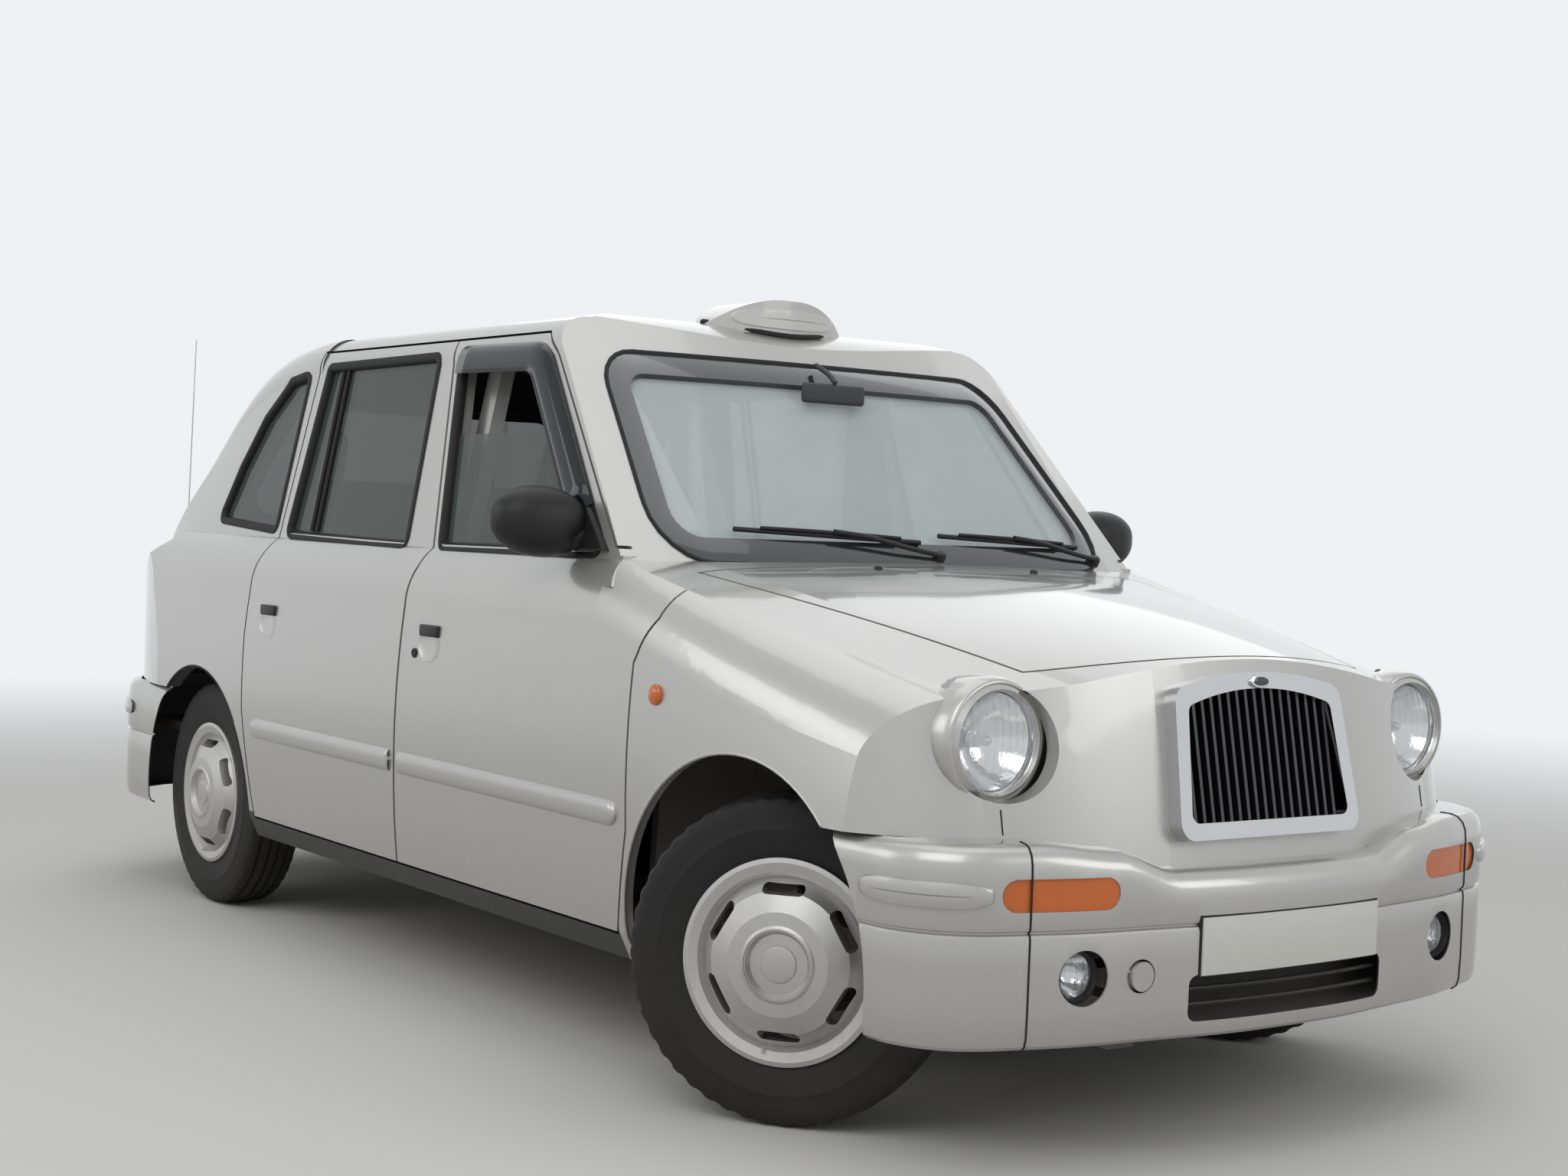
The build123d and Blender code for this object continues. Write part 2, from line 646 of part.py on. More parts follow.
def tail_plan(inset, back):
    i = inset
    with BuildSketch() as plan:
        with BuildLine():
            ThreePointArc((-2270 + i, -420 + i * 0.1), (TAIL_X + i, 0), (-2270 + i, 420 - i * 0.1))
            for s in (1, -1):
                ThreePointArc(
                    (-2270 + i, s * (420 - i * 0.1)), (-2250 + i, s * (640 - i * 0.4)), (-2196 + i, s * (756 - i * 0.7))
                )
                ThreePointArc(
                    (-2196 + i, s * (756 - i * 0.7)), (-2110 + i, s * (838 - i * 0.9)), (-1980 + i, s * (878 - i))
                )
                Line((-1980 + i, s * (878 - i)), (back, s * (894 - i)))
                Line((back, s * (894 - i)), (back, 0))
        make_face()
    return plan.sketch_local


SLOT_Y = 285.0
SLOT_LOW_Z = 300.0
SLOT_HIGH_Z = 392.0
TOW_X = 2224.0
TOW_Y = -400.0
TOW_Z = 398.0
TOW_R = 8.0
TOW_BOSS_R = 20.0
TOW_LENGTH = 76.0
with BuildPart() as front_bumper:
    with BuildSketch(Plane.XY.offset(BUMPER_LOW_Z)):
        add(nose_plan(0.0, 1700.0))
    extrude(amount=BUMPER_SIDE_Z - BUMPER_LOW_Z)
    with BuildSketch(Plane.XY.offset(BUMPER_LOW_Z - 1)):
        add(nose_plan(BUMPER_WALL, 1600.0))
    extrude(amount=BUMPER_SIDE_Z - BUMPER_LOW_Z + 2, mode=Mode.SUBTRACT)
    add(bumper_zone.part, mode=Mode.INTERSECT)
    with BuildSketch(Plane.XZ.offset(-1000.0)):
        with Locations((FRONT_ARCH_X, ARCH_Z)):
            Circle(FRONT_ARCH_R)
    extrude(amount=2000.0, mode=Mode.SUBTRACT)
    # Lower air slot, lamp openings and the towing eye's socket
    add(box_between((1900, -SLOT_Y, SLOT_LOW_Z), (2400, SLOT_Y, SLOT_HIGH_Z)), mode=Mode.SUBTRACT)
    for s in (1, -1):
        with BuildSketch(Plane.YZ.offset(2050.0)):
            with Locations((s * FOG_Y, FOG_Z)):
                Circle(FOG_R)
            with Locations((s * INDICATOR_Y, INDICATOR_Z)):
                SlotOverall(INDICATOR_W, INDICATOR_H)
        extrude(amount=400.0, mode=Mode.SUBTRACT)
    with Locations(Location((TOW_X, TOW_Y, TOW_Z), (0, 90, 0))):
        Cylinder(TOW_BOSS_R, TOW_LENGTH)
        Cylinder(TOW_R, TOW_LENGTH + 80, mode=Mode.SUBTRACT)
front_bumper.part.label = "front_bumper"
export_step(front_bumper.part, "parts/front_bumper.step")

with BuildPart() as rear_bumper:
    with BuildSketch(Plane.XY.offset(BUMPER_LOW_Z)):
        add(tail_plan(0.0, -1560.0))
    extrude(amount=BUMPER_SIDE_Z - BUMPER_LOW_Z)
    with BuildSketch(Plane.XY.offset(BUMPER_LOW_Z - 1)):
        add(tail_plan(BUMPER_WALL, -1500.0))
    extrude(amount=BUMPER_SIDE_Z - BUMPER_LOW_Z + 2, mode=Mode.SUBTRACT)
    with BuildSketch(Plane.XZ.offset(-1000.0)):
        with Locations((REAR_AXLE_X, ARCH_Z)):
            Circle(REAR_ARCH_R)
    extrude(amount=2000.0, mode=Mode.SUBTRACT)
rear_bumper.part.label = "rear_bumper"
export_step(rear_bumper.part, "parts/rear_bumper.step")

# Lamps in the bumper: lenses that follow its plan view
LENS_T = 26.0
with BuildPart() as lens_wall:
    with BuildSketch(Plane.XY.offset(BUMPER_LOW_Z)):
        add(nose_plan(5.0, 1700.0))
    extrude(amount=400.0)
    with BuildSketch(Plane.XY.offset(BUMPER_LOW_Z - 1)):
        add(nose_plan(5.0 + LENS_T, 1600.0))
    extrude(amount=402.0, mode=Mode.SUBTRACT)
for name, width, height, y, z in (
    ("indicator_lamps", INDICATOR_W, INDICATOR_H, INDICATOR_Y, INDICATOR_Z),
    ("fog_lamps", 0.0, 2 * FOG_R, FOG_Y, FOG_Z),
):
    with BuildPart() as lamp:
        for s in (1, -1):
            with BuildSketch(Plane.YZ.offset(2050.0)):
                with Locations((s * y, z)):
                    if width:
                        SlotOverall(width, height)
                    else:
                        Circle(height / 2)
            extrude(amount=400.0)
        add(lens_wall.part, mode=Mode.INTERSECT)
    lamp.part.label = name
    export_step(lamp.part, f"parts/{name}.step")

# Headlamps: a bezel ring let into the wing and panel, with a domed lens inside it
RING_R = HEADLAMP_R + 18
with BuildPart() as headlamp_rings:
    for s in (1, -1):
        with BuildSketch(Plane.XZ.offset(-s * HEADLAMP_Y)):
            Polygon(
                (HEADLAMP_X - 80, HEADLAMP_Z + HEADLAMP_R), (HEADLAMP_X - 80, HEADLAMP_Z + RING_R),
                (HEADLAMP_X + 12, HEADLAMP_Z + RING_R), (HEADLAMP_X + 22, HEADLAMP_Z + HEADLAMP_R + 6),
                (HEADLAMP_X + 10, HEADLAMP_Z + HEADLAMP_R), align=None,
            )
        revolve(axis=Axis((HEADLAMP_X, s * HEADLAMP_Y, HEADLAMP_Z), (1, 0, 0)))
headlamp_rings.part.label = "headlamp_rings"
export_step(headlamp_rings.part, "parts/headlamp_rings.step")
with BuildPart() as headlamps:
    for s in (1, -1):
        with BuildSketch(Plane.XZ.offset(-s * HEADLAMP_Y)):
            with BuildLine():
                Line((HEADLAMP_X - 70, HEADLAMP_Z), (HEADLAMP_X - 70, HEADLAMP_Z + HEADLAMP_R * 0.7))
                Line((HEADLAMP_X - 70, HEADLAMP_Z + HEADLAMP_R * 0.7), (HEADLAMP_X - 30, HEADLAMP_Z + HEADLAMP_R))
                Line((HEADLAMP_X - 30, HEADLAMP_Z + HEADLAMP_R), (HEADLAMP_X, HEADLAMP_Z + HEADLAMP_R))
                ThreePointArc(
                    (HEADLAMP_X, HEADLAMP_Z + HEADLAMP_R), (HEADLAMP_X + 22, HEADLAMP_Z + HEADLAMP_R * 0.55),
                    (HEADLAMP_X + 32, HEADLAMP_Z + HEADLAMP_R * 0.1)
                )
                Line((HEADLAMP_X + 32, HEADLAMP_Z + HEADLAMP_R * 0.1), (HEADLAMP_X + 32, HEADLAMP_Z))
                Line((HEADLAMP_X + 32, HEADLAMP_Z), (HEADLAMP_X - 70, HEADLAMP_Z))
            make_face()
        revolve(axis=Axis((HEADLAMP_X, s * HEADLAMP_Y, HEADLAMP_Z), (1, 0, 0)))
headlamps.part.label = "headlamps"
export_step(headlamps.part, "parts/headlamps.step")

# Grille: a thick rounded surround and upright slats in front of a backing plate
with BuildPart() as grille_surround:
    with BuildSketch(grille_plane):
        add(grille_outline(0.0))
    extrude(amount=GRILLE_DEPTH)
    with BuildSketch(grille_plane.offset(-1)):
        add(grille_outline(GRILLE_RIM))
    extrude(amount=GRILLE_DEPTH + 2, mode=Mode.SUBTRACT)
grille_surround.part.label = "grille_surround"
export_step(grille_surround.part, "parts/grille_surround.step")
with BuildPart() as grille_slats:
    with BuildSketch(grille_plane):
        add(grille_outline(GRILLE_RIM))
    extrude(amount=8.0)
    with BuildSketch(grille_plane.offset(8.0)):
        pitch = 2 * (GRILLE_LOW_Y - GRILLE_RIM) / (SLATS + 1)
        with GridLocations(pitch, 0, SLATS, 1):
            with Locations((0, GRILLE_TALL / 2)):
                Rectangle(SLAT_W, GRILLE_TALL)
        add(grille_outline(GRILLE_RIM), mode=Mode.INTERSECT)
    extrude(amount=GRILLE_DEPTH - 24)
grille_slats.part.label = "grille_slats"
export_step(grille_slats.part, "parts/grille_slats.step")

# Under the car
FLOOR_Y = 780.0
FLOOR_REAR_X = -2050.0
KICK_X = -1080.0
KICK_RUN = 100.0
BOOT_FLOOR_Z = 500.0
with BuildPart() as floor_pan:
    with BuildSketch(Plane.XZ.offset(-FLOOR_Y)):
        Polygon(
            (1092, FLOOR_Z - FLOOR_T), (1092, FLOOR_Z), (KICK_X, FLOOR_Z), (KICK_X - KICK_RUN, BOOT_FLOOR_Z + FLOOR_T),
            (FLOOR_REAR_X, BOOT_FLOOR_Z + FLOOR_T), (FLOOR_REAR_X, BOOT_FLOOR_Z), (KICK_X - KICK_RUN + 6, BOOT_FLOOR_Z),
            (KICK_X, FLOOR_Z - FLOOR_T), align=None,
        )
    extrude(amount=2 * FLOOR_Y)
    for s in (1, -1):
        with Locations((REAR_AXLE_X, s * (FLOOR_Y + 40), ARCH_Z + 100)):
            Box(2 * REAR_ARCH_R, 340, 600, mode=Mode.SUBTRACT)
floor_pan.part.label = "floor_pan"
export_step(floor_pan.part, "parts/floor_pan.step")

RAIL_LOW_Z = FLOOR_Z - FLOOR_T - RAIL_H
with BuildPart() as chassis_frame:
    for s in (1, -1):
        with BuildSketch(Plane.XZ.offset(-(s * RAIL_OFFSET + RAIL_W / 2))):
            Polygon(
                (2130, RAIL_LOW_Z), (2130, RAIL_LOW_Z + RAIL_H), (KICK_X, RAIL_LOW_Z + RAIL_H),
                (KICK_X - KICK_RUN, BOOT_FLOOR_Z), (-2140, BOOT_FLOOR_Z), (-2140, BOOT_FLOOR_Z - RAIL_H),
                (KICK_X - KICK_RUN, BOOT_FLOOR_Z - RAIL_H), (KICK_X, RAIL_LOW_Z), align=None,
            )
        extrude(amount=RAIL_W)
    for x in (2060.0, 1020.0, 300.0, -500.0):
        with Locations((x, 0, RAIL_LOW_Z + RAIL_H / 2)):
            Box(60, 2 * RAIL_OFFSET, RAIL_H - 20)
    with Locations((-2060.0, 0, BOOT_FLOOR_Z - RAIL_H / 2)):
        Box(60, 2 * RAIL_OFFSET, RAIL_H - 20)
    # Front crossmember with a tower each side for the suspension arms
    with Locations((FRONT_AXLE_X, 0, RAIL_LOW_Z - 12)):
        Box(150, 2 * (RAIL_OFFSET + RAIL_W / 2), 64)
    for s in (1, -1):
        with Locations((FRONT_AXLE_X, s * (RAIL_OFFSET + RAIL_W / 2 + 8), RAIL_LOW_Z + 108)):
            Box(110, 16, 304)
chassis_frame.part.label = "chassis_frame"
export_step(chassis_frame.part, "parts/chassis_frame.step")

TOWER_Y = RAIL_OFFSET + RAIL_W / 2 + 16
ARM_T = 20.0
with BuildPart() as front_arms:
    for s in (1, -1):
        for z, spread in ((KNUCKLE_LOW - ARM_GAP - ARM_T, 74.0), (KNUCKLE_HIGH + ARM_GAP, 55.0)):
            with BuildSketch(Plane.XY.offset(z)):
                Polygon(
                    (FRONT_AXLE_X - spread, s * TOWER_Y), (FRONT_AXLE_X + spread, s * TOWER_Y),
                    (FRONT_AXLE_X + KNUCKLE_R, s * KINGPIN_Y), (FRONT_AXLE_X - KNUCKLE_R, s * KINGPIN_Y), align=None,
                )
                with Locations((FRONT_AXLE_X, s * KINGPIN_Y)):
                    Circle(KNUCKLE_R)
            extrude(amount=ARM_T)
front_arms.part.label = "front_arms"
export_step(front_arms.part, "parts/front_arms.step")

with BuildPart() as engine_block:
    with Locations((1560.0, 0, RAIL_LOW_Z + RAIL_H + 10 + ENGINE[2] / 2)):
        Box(*ENGINE)
    with Locations((1560.0, 0, RAIL_LOW_Z + RAIL_H)):
        Box(180, 2 * RAIL_OFFSET - RAIL_W, 22)
engine_block.part.label = "engine_block"
export_step(engine_block.part, "parts/engine_block.step")

# Wheels, turned shapes about the axle
HUB_OUT = 74.0
RIM_PROFILE = [
    # along the axle outward from the wheel's middle, radius
    (-84.0, FLANGE_R), (-76.0, FLANGE_R), (-70.0, RIM_R), (70.0, RIM_R), (76.0, FLANGE_R), (84.0, FLANGE_R),
    (86.0, 206.0), (80.0, 186.0), (66.0, 176.0), (96.0, 150.0), (112.0, 108.0), (114.0, 70.0), (104.0, 62.0),
    (106.0, 0.0), (72.0, 0.0), (72.0, HUB_BORE_R), (-24.0, HUB_BORE_R), (-24.0, 62.0), (40.0, 66.0), (54.0, 150.0),
    (46.0, 180.0), (40.0, 190.0), (-84.0, 194.0),
]
TYRE_HALF = TYRE_W / 2
WHEELS = [
    # name, axle x, side, steered angle
    ("front_left", FRONT_AXLE_X, 1, STEER_REST),
    ("front_right", FRONT_AXLE_X, -1, STEER_REST),
    ("rear_left", REAR_AXLE_X, 1, 0.0),
    ("rear_right", REAR_AXLE_X, -1, 0.0),
]


def wheel_frame(x, side, angle):
    """Plane whose X runs outward along the axle and whose Y is up, at the wheel's middle."""
    pin_y = KINGPIN_Y if angle else HALF_TRACK
    reach = HALF_TRACK - pin_y
    turn = math.radians(angle)
    out = (-side * math.sin(turn), side * math.cos(turn), 0.0)
    origin = (x + reach * out[0], side * pin_y + reach * out[1], TYRE_R)
    return Plane(origin=origin, x_dir=out, z_dir=Vector(*out).cross(Vector(0, 0, 1)))


for name, x, side, angle in WHEELS:
    frame = wheel_frame(x, side, angle)
    axle = Axis(frame.origin, frame.x_dir)
    with BuildPart() as rim:
        with BuildSketch(frame):
            Polygon(*RIM_PROFILE, align=None)
        revolve(axis=axle)
        # Six long slots through the cover
        cover = Plane(origin=frame.origin, x_dir=(0, 0, 1), z_dir=frame.x_dir)
        with BuildSketch(cover.offset(40.0)):
            with PolarLocations(152.0, 6):
                with Locations(Rotation(0, 0, 90)):
                    SlotOverall(92.0, 22.0)
        extrude(amount=80.0, mode=Mode.SUBTRACT)
    rim.part.label = name + "_rim"
    export_step(rim.part, f"parts/{name}_rim.step")
    with BuildPart() as tyre:
        with BuildSketch(frame):
            with BuildLine():
                for s in (1, -1):
                    Line((0, TYRE_R), (s * 58, TYRE_R - 1))
                    ThreePointArc((s * 58, TYRE_R - 1), (s * 74, TYRE_R - 7), (s * (TYRE_HALF - 6), TYRE_R - 24))
                    ThreePointArc(
                        (s * (TYRE_HALF - 6), TYRE_R - 24), (s * TYRE_HALF, TYRE_R - 70), (s * 77, FLANGE_R)
                    )
                    Line((s * 77, FLANGE_R), (s * 76, FLANGE_R))
                    Line((s * 76, FLANGE_R), (s * 70, RIM_R))
                Line((-70, RIM_R), (70, RIM_R))
            make_face()
        revolve(axis=axle)
    tyre.part.label = name + "_tyre"
    export_step(tyre.part, f"parts/{name}_tyre.step")
    if angle:
        out = frame.x_dir
        pin = Vector(x, side * KINGPIN_Y, TYRE_R)
        with BuildPart() as knuckle:
            with BuildSketch(Plane.XY.offset(KNUCKLE_LOW)):
                with Locations((x, side * KINGPIN_Y)):
                    Circle(KNUCKLE_R)
            extrude(amount=KNUCKLE_HIGH - KNUCKLE_LOW)
            with BuildSketch(Plane(origin=pin, x_dir=(0, 0, 1), z_dir=out)):
                Circle(STUB_R)
            extrude(amount=HALF_TRACK - KINGPIN_Y + 70)
            with BuildSketch(Plane(origin=pin, x_dir=(0, 0, 1), z_dir=out)):
                Circle(52.0)
            extrude(amount=HALF_TRACK - KINGPIN_Y - 30)
        knuckle.part.label = name + "_knuckle"
        export_step(knuckle.part, f"parts/{name}_knuckle.step")

with BuildPart() as rear_axle:
    with Locations(Location((REAR_AXLE_X, 0, TYRE_R), (90, 0, 0))):
        Cylinder(AXLE_TUBE_R, 2 * (HALF_TRACK - 30))
        Cylinder(STUB_R, 2 * (HALF_TRACK + 70))
    with Locations((REAR_AXLE_X, 0, TYRE_R)):
        Sphere(118.0)
    for s in (1, -1):
        with BuildSketch(Plane.XY.offset(TYRE_R)):
            with Locations((REAR_AXLE_X, s * RAIL_OFFSET)):
                Circle(34.0)
        extrude(amount=BOOT_FLOOR_Z - RAIL_H - TYRE_R)
rear_axle.part.label = "rear_axle"
export_step(rear_axle.part, "parts/rear_axle.step")

# Inside the cab
with BuildPart() as centre_posts:
    for s in (1, -1):
        with BuildSketch(Plane.YZ.offset(6.0)):
            Polygon(
                (s * 700, FLOOR_Z), (s * (FLOOR_Y - 4), FLOOR_Z), (s * (SHOULDER_Y - WALL - 60), SHOULDER_Z),
                (s * (BELT_Y - WALL - 14), BELT_Z), (s * (RAIL_Y - WALL - 36), ROOF_CUT_Z - 24),
                (s * (RAIL_Y - WALL - 36), ROOF_CUT_Z + 6),
                (s * (RAIL_Y - WALL - 80), ROOF_CUT_Z + 6), (s * (BELT_Y - WALL - 56), BELT_Z),
                (s * 740, SHOULDER_Z), align=None,
            )
        extrude(amount=70.0)
    add(shell.part, mode=Mode.SUBTRACT)
centre_posts.part.label = "centre_posts"
export_step(centre_posts.part, "parts/centre_posts.step")

DRIVER_Y = -360.0
with BuildPart() as dashboard:
    with BuildSketch(Plane.XZ.offset(-690.0)):
        with BuildLine():
            Polyline((1010, 1090), (1010, 800), (900, 700), (850, 700), (830, 860), (790, 930))
            ThreePointArc((790, 930), (776, 1010), (830, 1076))
            Line((830, 1076), (1010, 1090))
        make_face()
    extrude(amount=1380.0)
    # Hood over the instruments
    with BuildSketch(Plane.YZ.offset(800.0)):
        with Locations((DRIVER_Y, 1060)):
            SlotOverall(360.0, 110.0)
    extrude(amount=120.0)
dashboard.part.label = "dashboard"
export_step(dashboard.part, "parts/dashboard.step")

WHEEL_TILT = 62.0
steering_plane = Plane(
    origin=(640.0, DRIVER_Y, 985.0), x_dir=(0, 1, 0),
    z_dir=(-math.sin(math.radians(WHEEL_TILT)), 0, math.cos(math.radians(WHEEL_TILT))),
)
with BuildPart() as steering_wheel:
    with Locations(steering_plane.location):
        Torus(190.0, 14.0)
        Cylinder(48.0, 40.0)
        for angle in (0, 130, 230):
            with Locations(Rotation(0, 0, angle + 90)):
                with Locations((100.0, 0, -6)):
                    Box(190.0, 34.0, 16.0)
        with Locations((0, 0, -110.0)):
            Cylinder(26.0, 200.0)
    add(dashboard.part, mode=Mode.SUBTRACT)
steering_wheel.part.label = "steering_wheel"
export_step(steering_wheel.part, "parts/steering_wheel.step")

with BuildPart() as driver_seat:
    with BuildSketch(Plane.XZ.offset(-(DRIVER_Y + 235))) as seat_side:
        Polygon(
            (600, FLOOR_Z), (620, 640), (590, 700), (200, 660), (120, 1190), (90, 1250), (30, 1250), (20, 1200),
            (60, 640), (60, FLOOR_Z), align=None,
        )
        fillet(seat_side.vertices(), 18.0)
    extrude(amount=470.0)
    with Locations((62, DRIVER_Y, 1345)):
        Box(90, 260, 200)
    fillet(driver_seat.edges().filter_by(Axis.Z).group_by(SortBy.LENGTH)[-1], 20.0)
driver_seat.part.label = "driver_seat"
export_step(driver_seat.part, "parts/driver_seat.step")

PARTITION_X = -60.0
PARTITION_T = 24.0
with BuildPart() as partition:
    with BuildSketch(Plane.YZ.offset(PARTITION_X)):
        Polygon(
            (-770, FLOOR_Z), (770, FLOOR_Z), (780, 1000), (700, 1150), (606, ROOF_CUT_Z - 30),
            (-606, ROOF_CUT_Z - 30), (-700, 1150), (-780, 1000), align=None,
        )
        with Locations((-315, 1360), (315, 1360)):
            RectangleRounded(500, 540, 40, mode=Mode.SUBTRACT)
    extrude(amount=PARTITION_T)
partition.part.label = "partition"
export_step(partition.part, "parts/partition.step")

with BuildPart() as folding_seats:
    for s in (1, -1):
        with Locations((PARTITION_X - 50, s * 330, 850)):
            Box(100, 400, 620)
    fillet(folding_seats.edges().filter_by(Axis.X), 40.0)
folding_seats.part.label = "folding_seats"
export_step(folding_seats.part, "parts/folding_seats.step")

with BuildPart() as rear_bench:
    with BuildSketch(Plane.XZ.offset(-560.0)) as bench_side:
        Polygon(
            (-1000, FLOOR_Z), (-960, 700), (-1000, 790), (-1380, 740), (-1450, 1340), (-1500, 1380), (-1560, 1360),
            (-1560, BOOT_FLOOR_Z + FLOOR_T), (KICK_X - KICK_RUN, BOOT_FLOOR_Z + FLOOR_T), (KICK_X, FLOOR_Z),
            align=None,
        )
    extrude(amount=1120.0)
rear_bench.part.label = "rear_bench"
export_step(rear_bench.part, "parts/rear_bench.step")

# Sign pod on the roof, a lens shape seen from the front and from above
SIGN_X = 372.0
SIGN_HALF = 243.0
SIGN_TOP_Z = 1838.0
SIGN_DEPTH = 220.0
with BuildPart() as roof_sign:
    with BuildSketch(Plane.YZ.offset(SIGN_X - SIGN_DEPTH)):
        with BuildLine():
            ThreePointArc((-SIGN_HALF, 1744), (-SIGN_HALF * 0.6, SIGN_TOP_Z - 26), (0, SIGN_TOP_Z))
            ThreePointArc((0, SIGN_TOP_Z), (SIGN_HALF * 0.6, SIGN_TOP_Z - 26), (SIGN_HALF, 1744))
            Polyline((SIGN_HALF, 1744), (SIGN_HALF - 6, 1660), (-SIGN_HALF + 6, 1660), (-SIGN_HALF, 1744))
        make_face()
    extrude(amount=2 * SIGN_DEPTH)
    with BuildSketch(Plane.XY.offset(1640.0)):
        with BuildLine():
            ThreePointArc((SIGN_X, -SIGN_HALF), (SIGN_X + SIGN_DEPTH * 0.42, 0), (SIGN_X, SIGN_HALF))
            ThreePointArc((SIGN_X, SIGN_HALF), (SIGN_X - SIGN_DEPTH * 0.62, 0), (SIGN_X, -SIGN_HALF))
        make_face()
    extrude(amount=300.0, mode=Mode.INTERSECT)
    add(upper_outer, mode=Mode.SUBTRACT)
roof_sign.part.label = "roof_sign"
export_step(roof_sign.part, "parts/roof_sign.step")

# Door mirrors on their sail plates
MIRROR_X = 690.0
MIRROR_Z = 1228.0
for side, name in ((1, "left_mirror"), (-1, "right_mirror")):
    with BuildPart() as mirror:
        with Locations((MIRROR_X + 10, side * 928, MIRROR_Z)):
            Box(120, 184, 170)
        fillet(mirror.edges(), 34.0)
        with Locations((MIRROR_X + 40, side * 830, MIRROR_Z - 38)):
            Box(70, 120, 46)
        add(upper_outer, mode=Mode.SUBTRACT)
    mirror.part.label = name
    export_step(mirror.part, f"parts/{name}.step")

# Rear lamps, let into the corners of the tail
with BuildPart() as rear_lamp_space:
    for s in (1, -1):
        with BuildSketch(Plane.YZ.offset(-2400.0)):
            with Locations((s * 668, 800)):
                RectangleRounded(96, 210, 30)
        extrude(amount=420.0)
with BuildPart() as rear_lamps:
    add(panel_parts["rear_body"])
    add(rear_lamp_space.part, mode=Mode.INTERSECT)
rear_lamps.part.label = "rear_lamps"
export_step(rear_lamps.part, "parts/rear_lamps.step")

BULKHEAD_X = 1066.0
BULKHEAD_T = 24.0
for name, part in panel_parts.items():
    with BuildPart() as panel:
        add(part)
        if name == "rear_body":
            add(rear_lamp_space.part, mode=Mode.SUBTRACT)
            add(box_between((-BIG, -BIG, 0.0), (REAR_AXLE_X, BIG, BUMPER_SIDE_Z)), mode=Mode.SUBTRACT)
        if name == "sills":
            for s in (1, -1):
                with Locations((60.0, s * (FLOOR_Y - 5), (SILL_Z + FLOOR_Z - FLOOR_T) / 2)):
                    Box(2030, 70, FLOOR_Z - FLOOR_T - SILL_Z)
        if name == "cowl_and_pillars":
            with BuildSketch(Plane.YZ.offset(BULKHEAD_X - BULKHEAD_T)):
                Polygon(
                    (-760, FLOOR_Z), (760, FLOOR_Z), (740, 1060), (640, BELT_Z - 20), (-640, BELT_Z - 20), (-740, 1060),
                    align=None,
                )
            extrude(amount=BULKHEAD_T)
    panel.part.label = name
    export_step(panel.part, f"parts/{name}.step")
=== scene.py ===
import math

import bpy
from mathutils import Matrix, Vector


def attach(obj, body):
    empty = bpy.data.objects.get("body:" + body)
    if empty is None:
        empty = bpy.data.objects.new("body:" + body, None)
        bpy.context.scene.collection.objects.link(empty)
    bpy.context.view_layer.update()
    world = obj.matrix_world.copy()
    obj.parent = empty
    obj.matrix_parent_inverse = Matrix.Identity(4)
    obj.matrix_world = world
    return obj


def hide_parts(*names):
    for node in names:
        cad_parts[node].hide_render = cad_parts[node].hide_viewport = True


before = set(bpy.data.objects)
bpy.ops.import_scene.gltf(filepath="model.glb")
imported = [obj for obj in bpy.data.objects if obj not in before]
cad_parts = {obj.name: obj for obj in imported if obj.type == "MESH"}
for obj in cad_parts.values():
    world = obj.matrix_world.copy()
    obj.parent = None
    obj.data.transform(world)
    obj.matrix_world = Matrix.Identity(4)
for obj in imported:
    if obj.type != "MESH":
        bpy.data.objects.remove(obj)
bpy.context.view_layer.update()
bpy.ops.object.select_all(action="DESELECT")

# Weather on the cab: a faint mottle in every finish, and pale road dust that thickens towards the ground.
# It is thrown up by the wheels, so the lower half carries a thin grey-brown film.
DUST_BROWN = (0.26, 0.225, 0.18, 1.0)
DUST_HEIGHT, DUST_FADE, DUST_CURVE, DUST_ALL_OVER, DUST_DULLS = 0.2, 0.75, 1.6, 0.12, 0.4


def link(tree, source, target):
    tree.links.new(source, target)


def feed(tree, socket, value):
    """Sets a socket to a number or colour, or links another node's output to it."""
    if isinstance(value, (int, float, tuple)):
        socket.default_value = value
    else:
        link(tree, value, socket)


def new_node(tree, kind, **settings):
    made = tree.nodes.new("ShaderNode" + kind)
    for label, value in settings.items():
        setattr(made, label, value)
    return made


def maths(tree, operation, *values, clamp=False):
    made = new_node(tree, "Math", operation=operation, use_clamp=clamp)
    for socket, value in zip(made.inputs, values):
        feed(tree, socket, value)
    return made.outputs[0]


def blend_colours(tree, amount, first, second, blend="MIX"):
    made = new_node(tree, "Mix", data_type="RGBA", blend_type=blend)
    for index, value in ((0, amount), (6, first), (7, second)):
        feed(tree, made.inputs[index], value)
    return made.outputs[2]


def object_place(tree):
    return new_node(tree, "TexCoord").outputs["Object"]


def axes(tree):
    """The x, y and z of a place on the piece."""
    made = new_node(tree, "SeparateXYZ")
    link(tree, object_place(tree), made.inputs[0])
    return made.outputs


def noise(tree, scale, detail):
    made = new_node(tree, "TexNoise")
    for label, value in (("Vector", object_place(tree)), ("Scale", scale), ("Detail", detail)):
        feed(tree, made.inputs[label], value)
    return made.outputs["Fac"]


def bump(tree, height, distance, strength):
    made = new_node(tree, "Bump")
    for label, value in (("Height", height), ("Distance", distance), ("Strength", strength)):
        feed(tree, made.inputs[label], value)
    return made


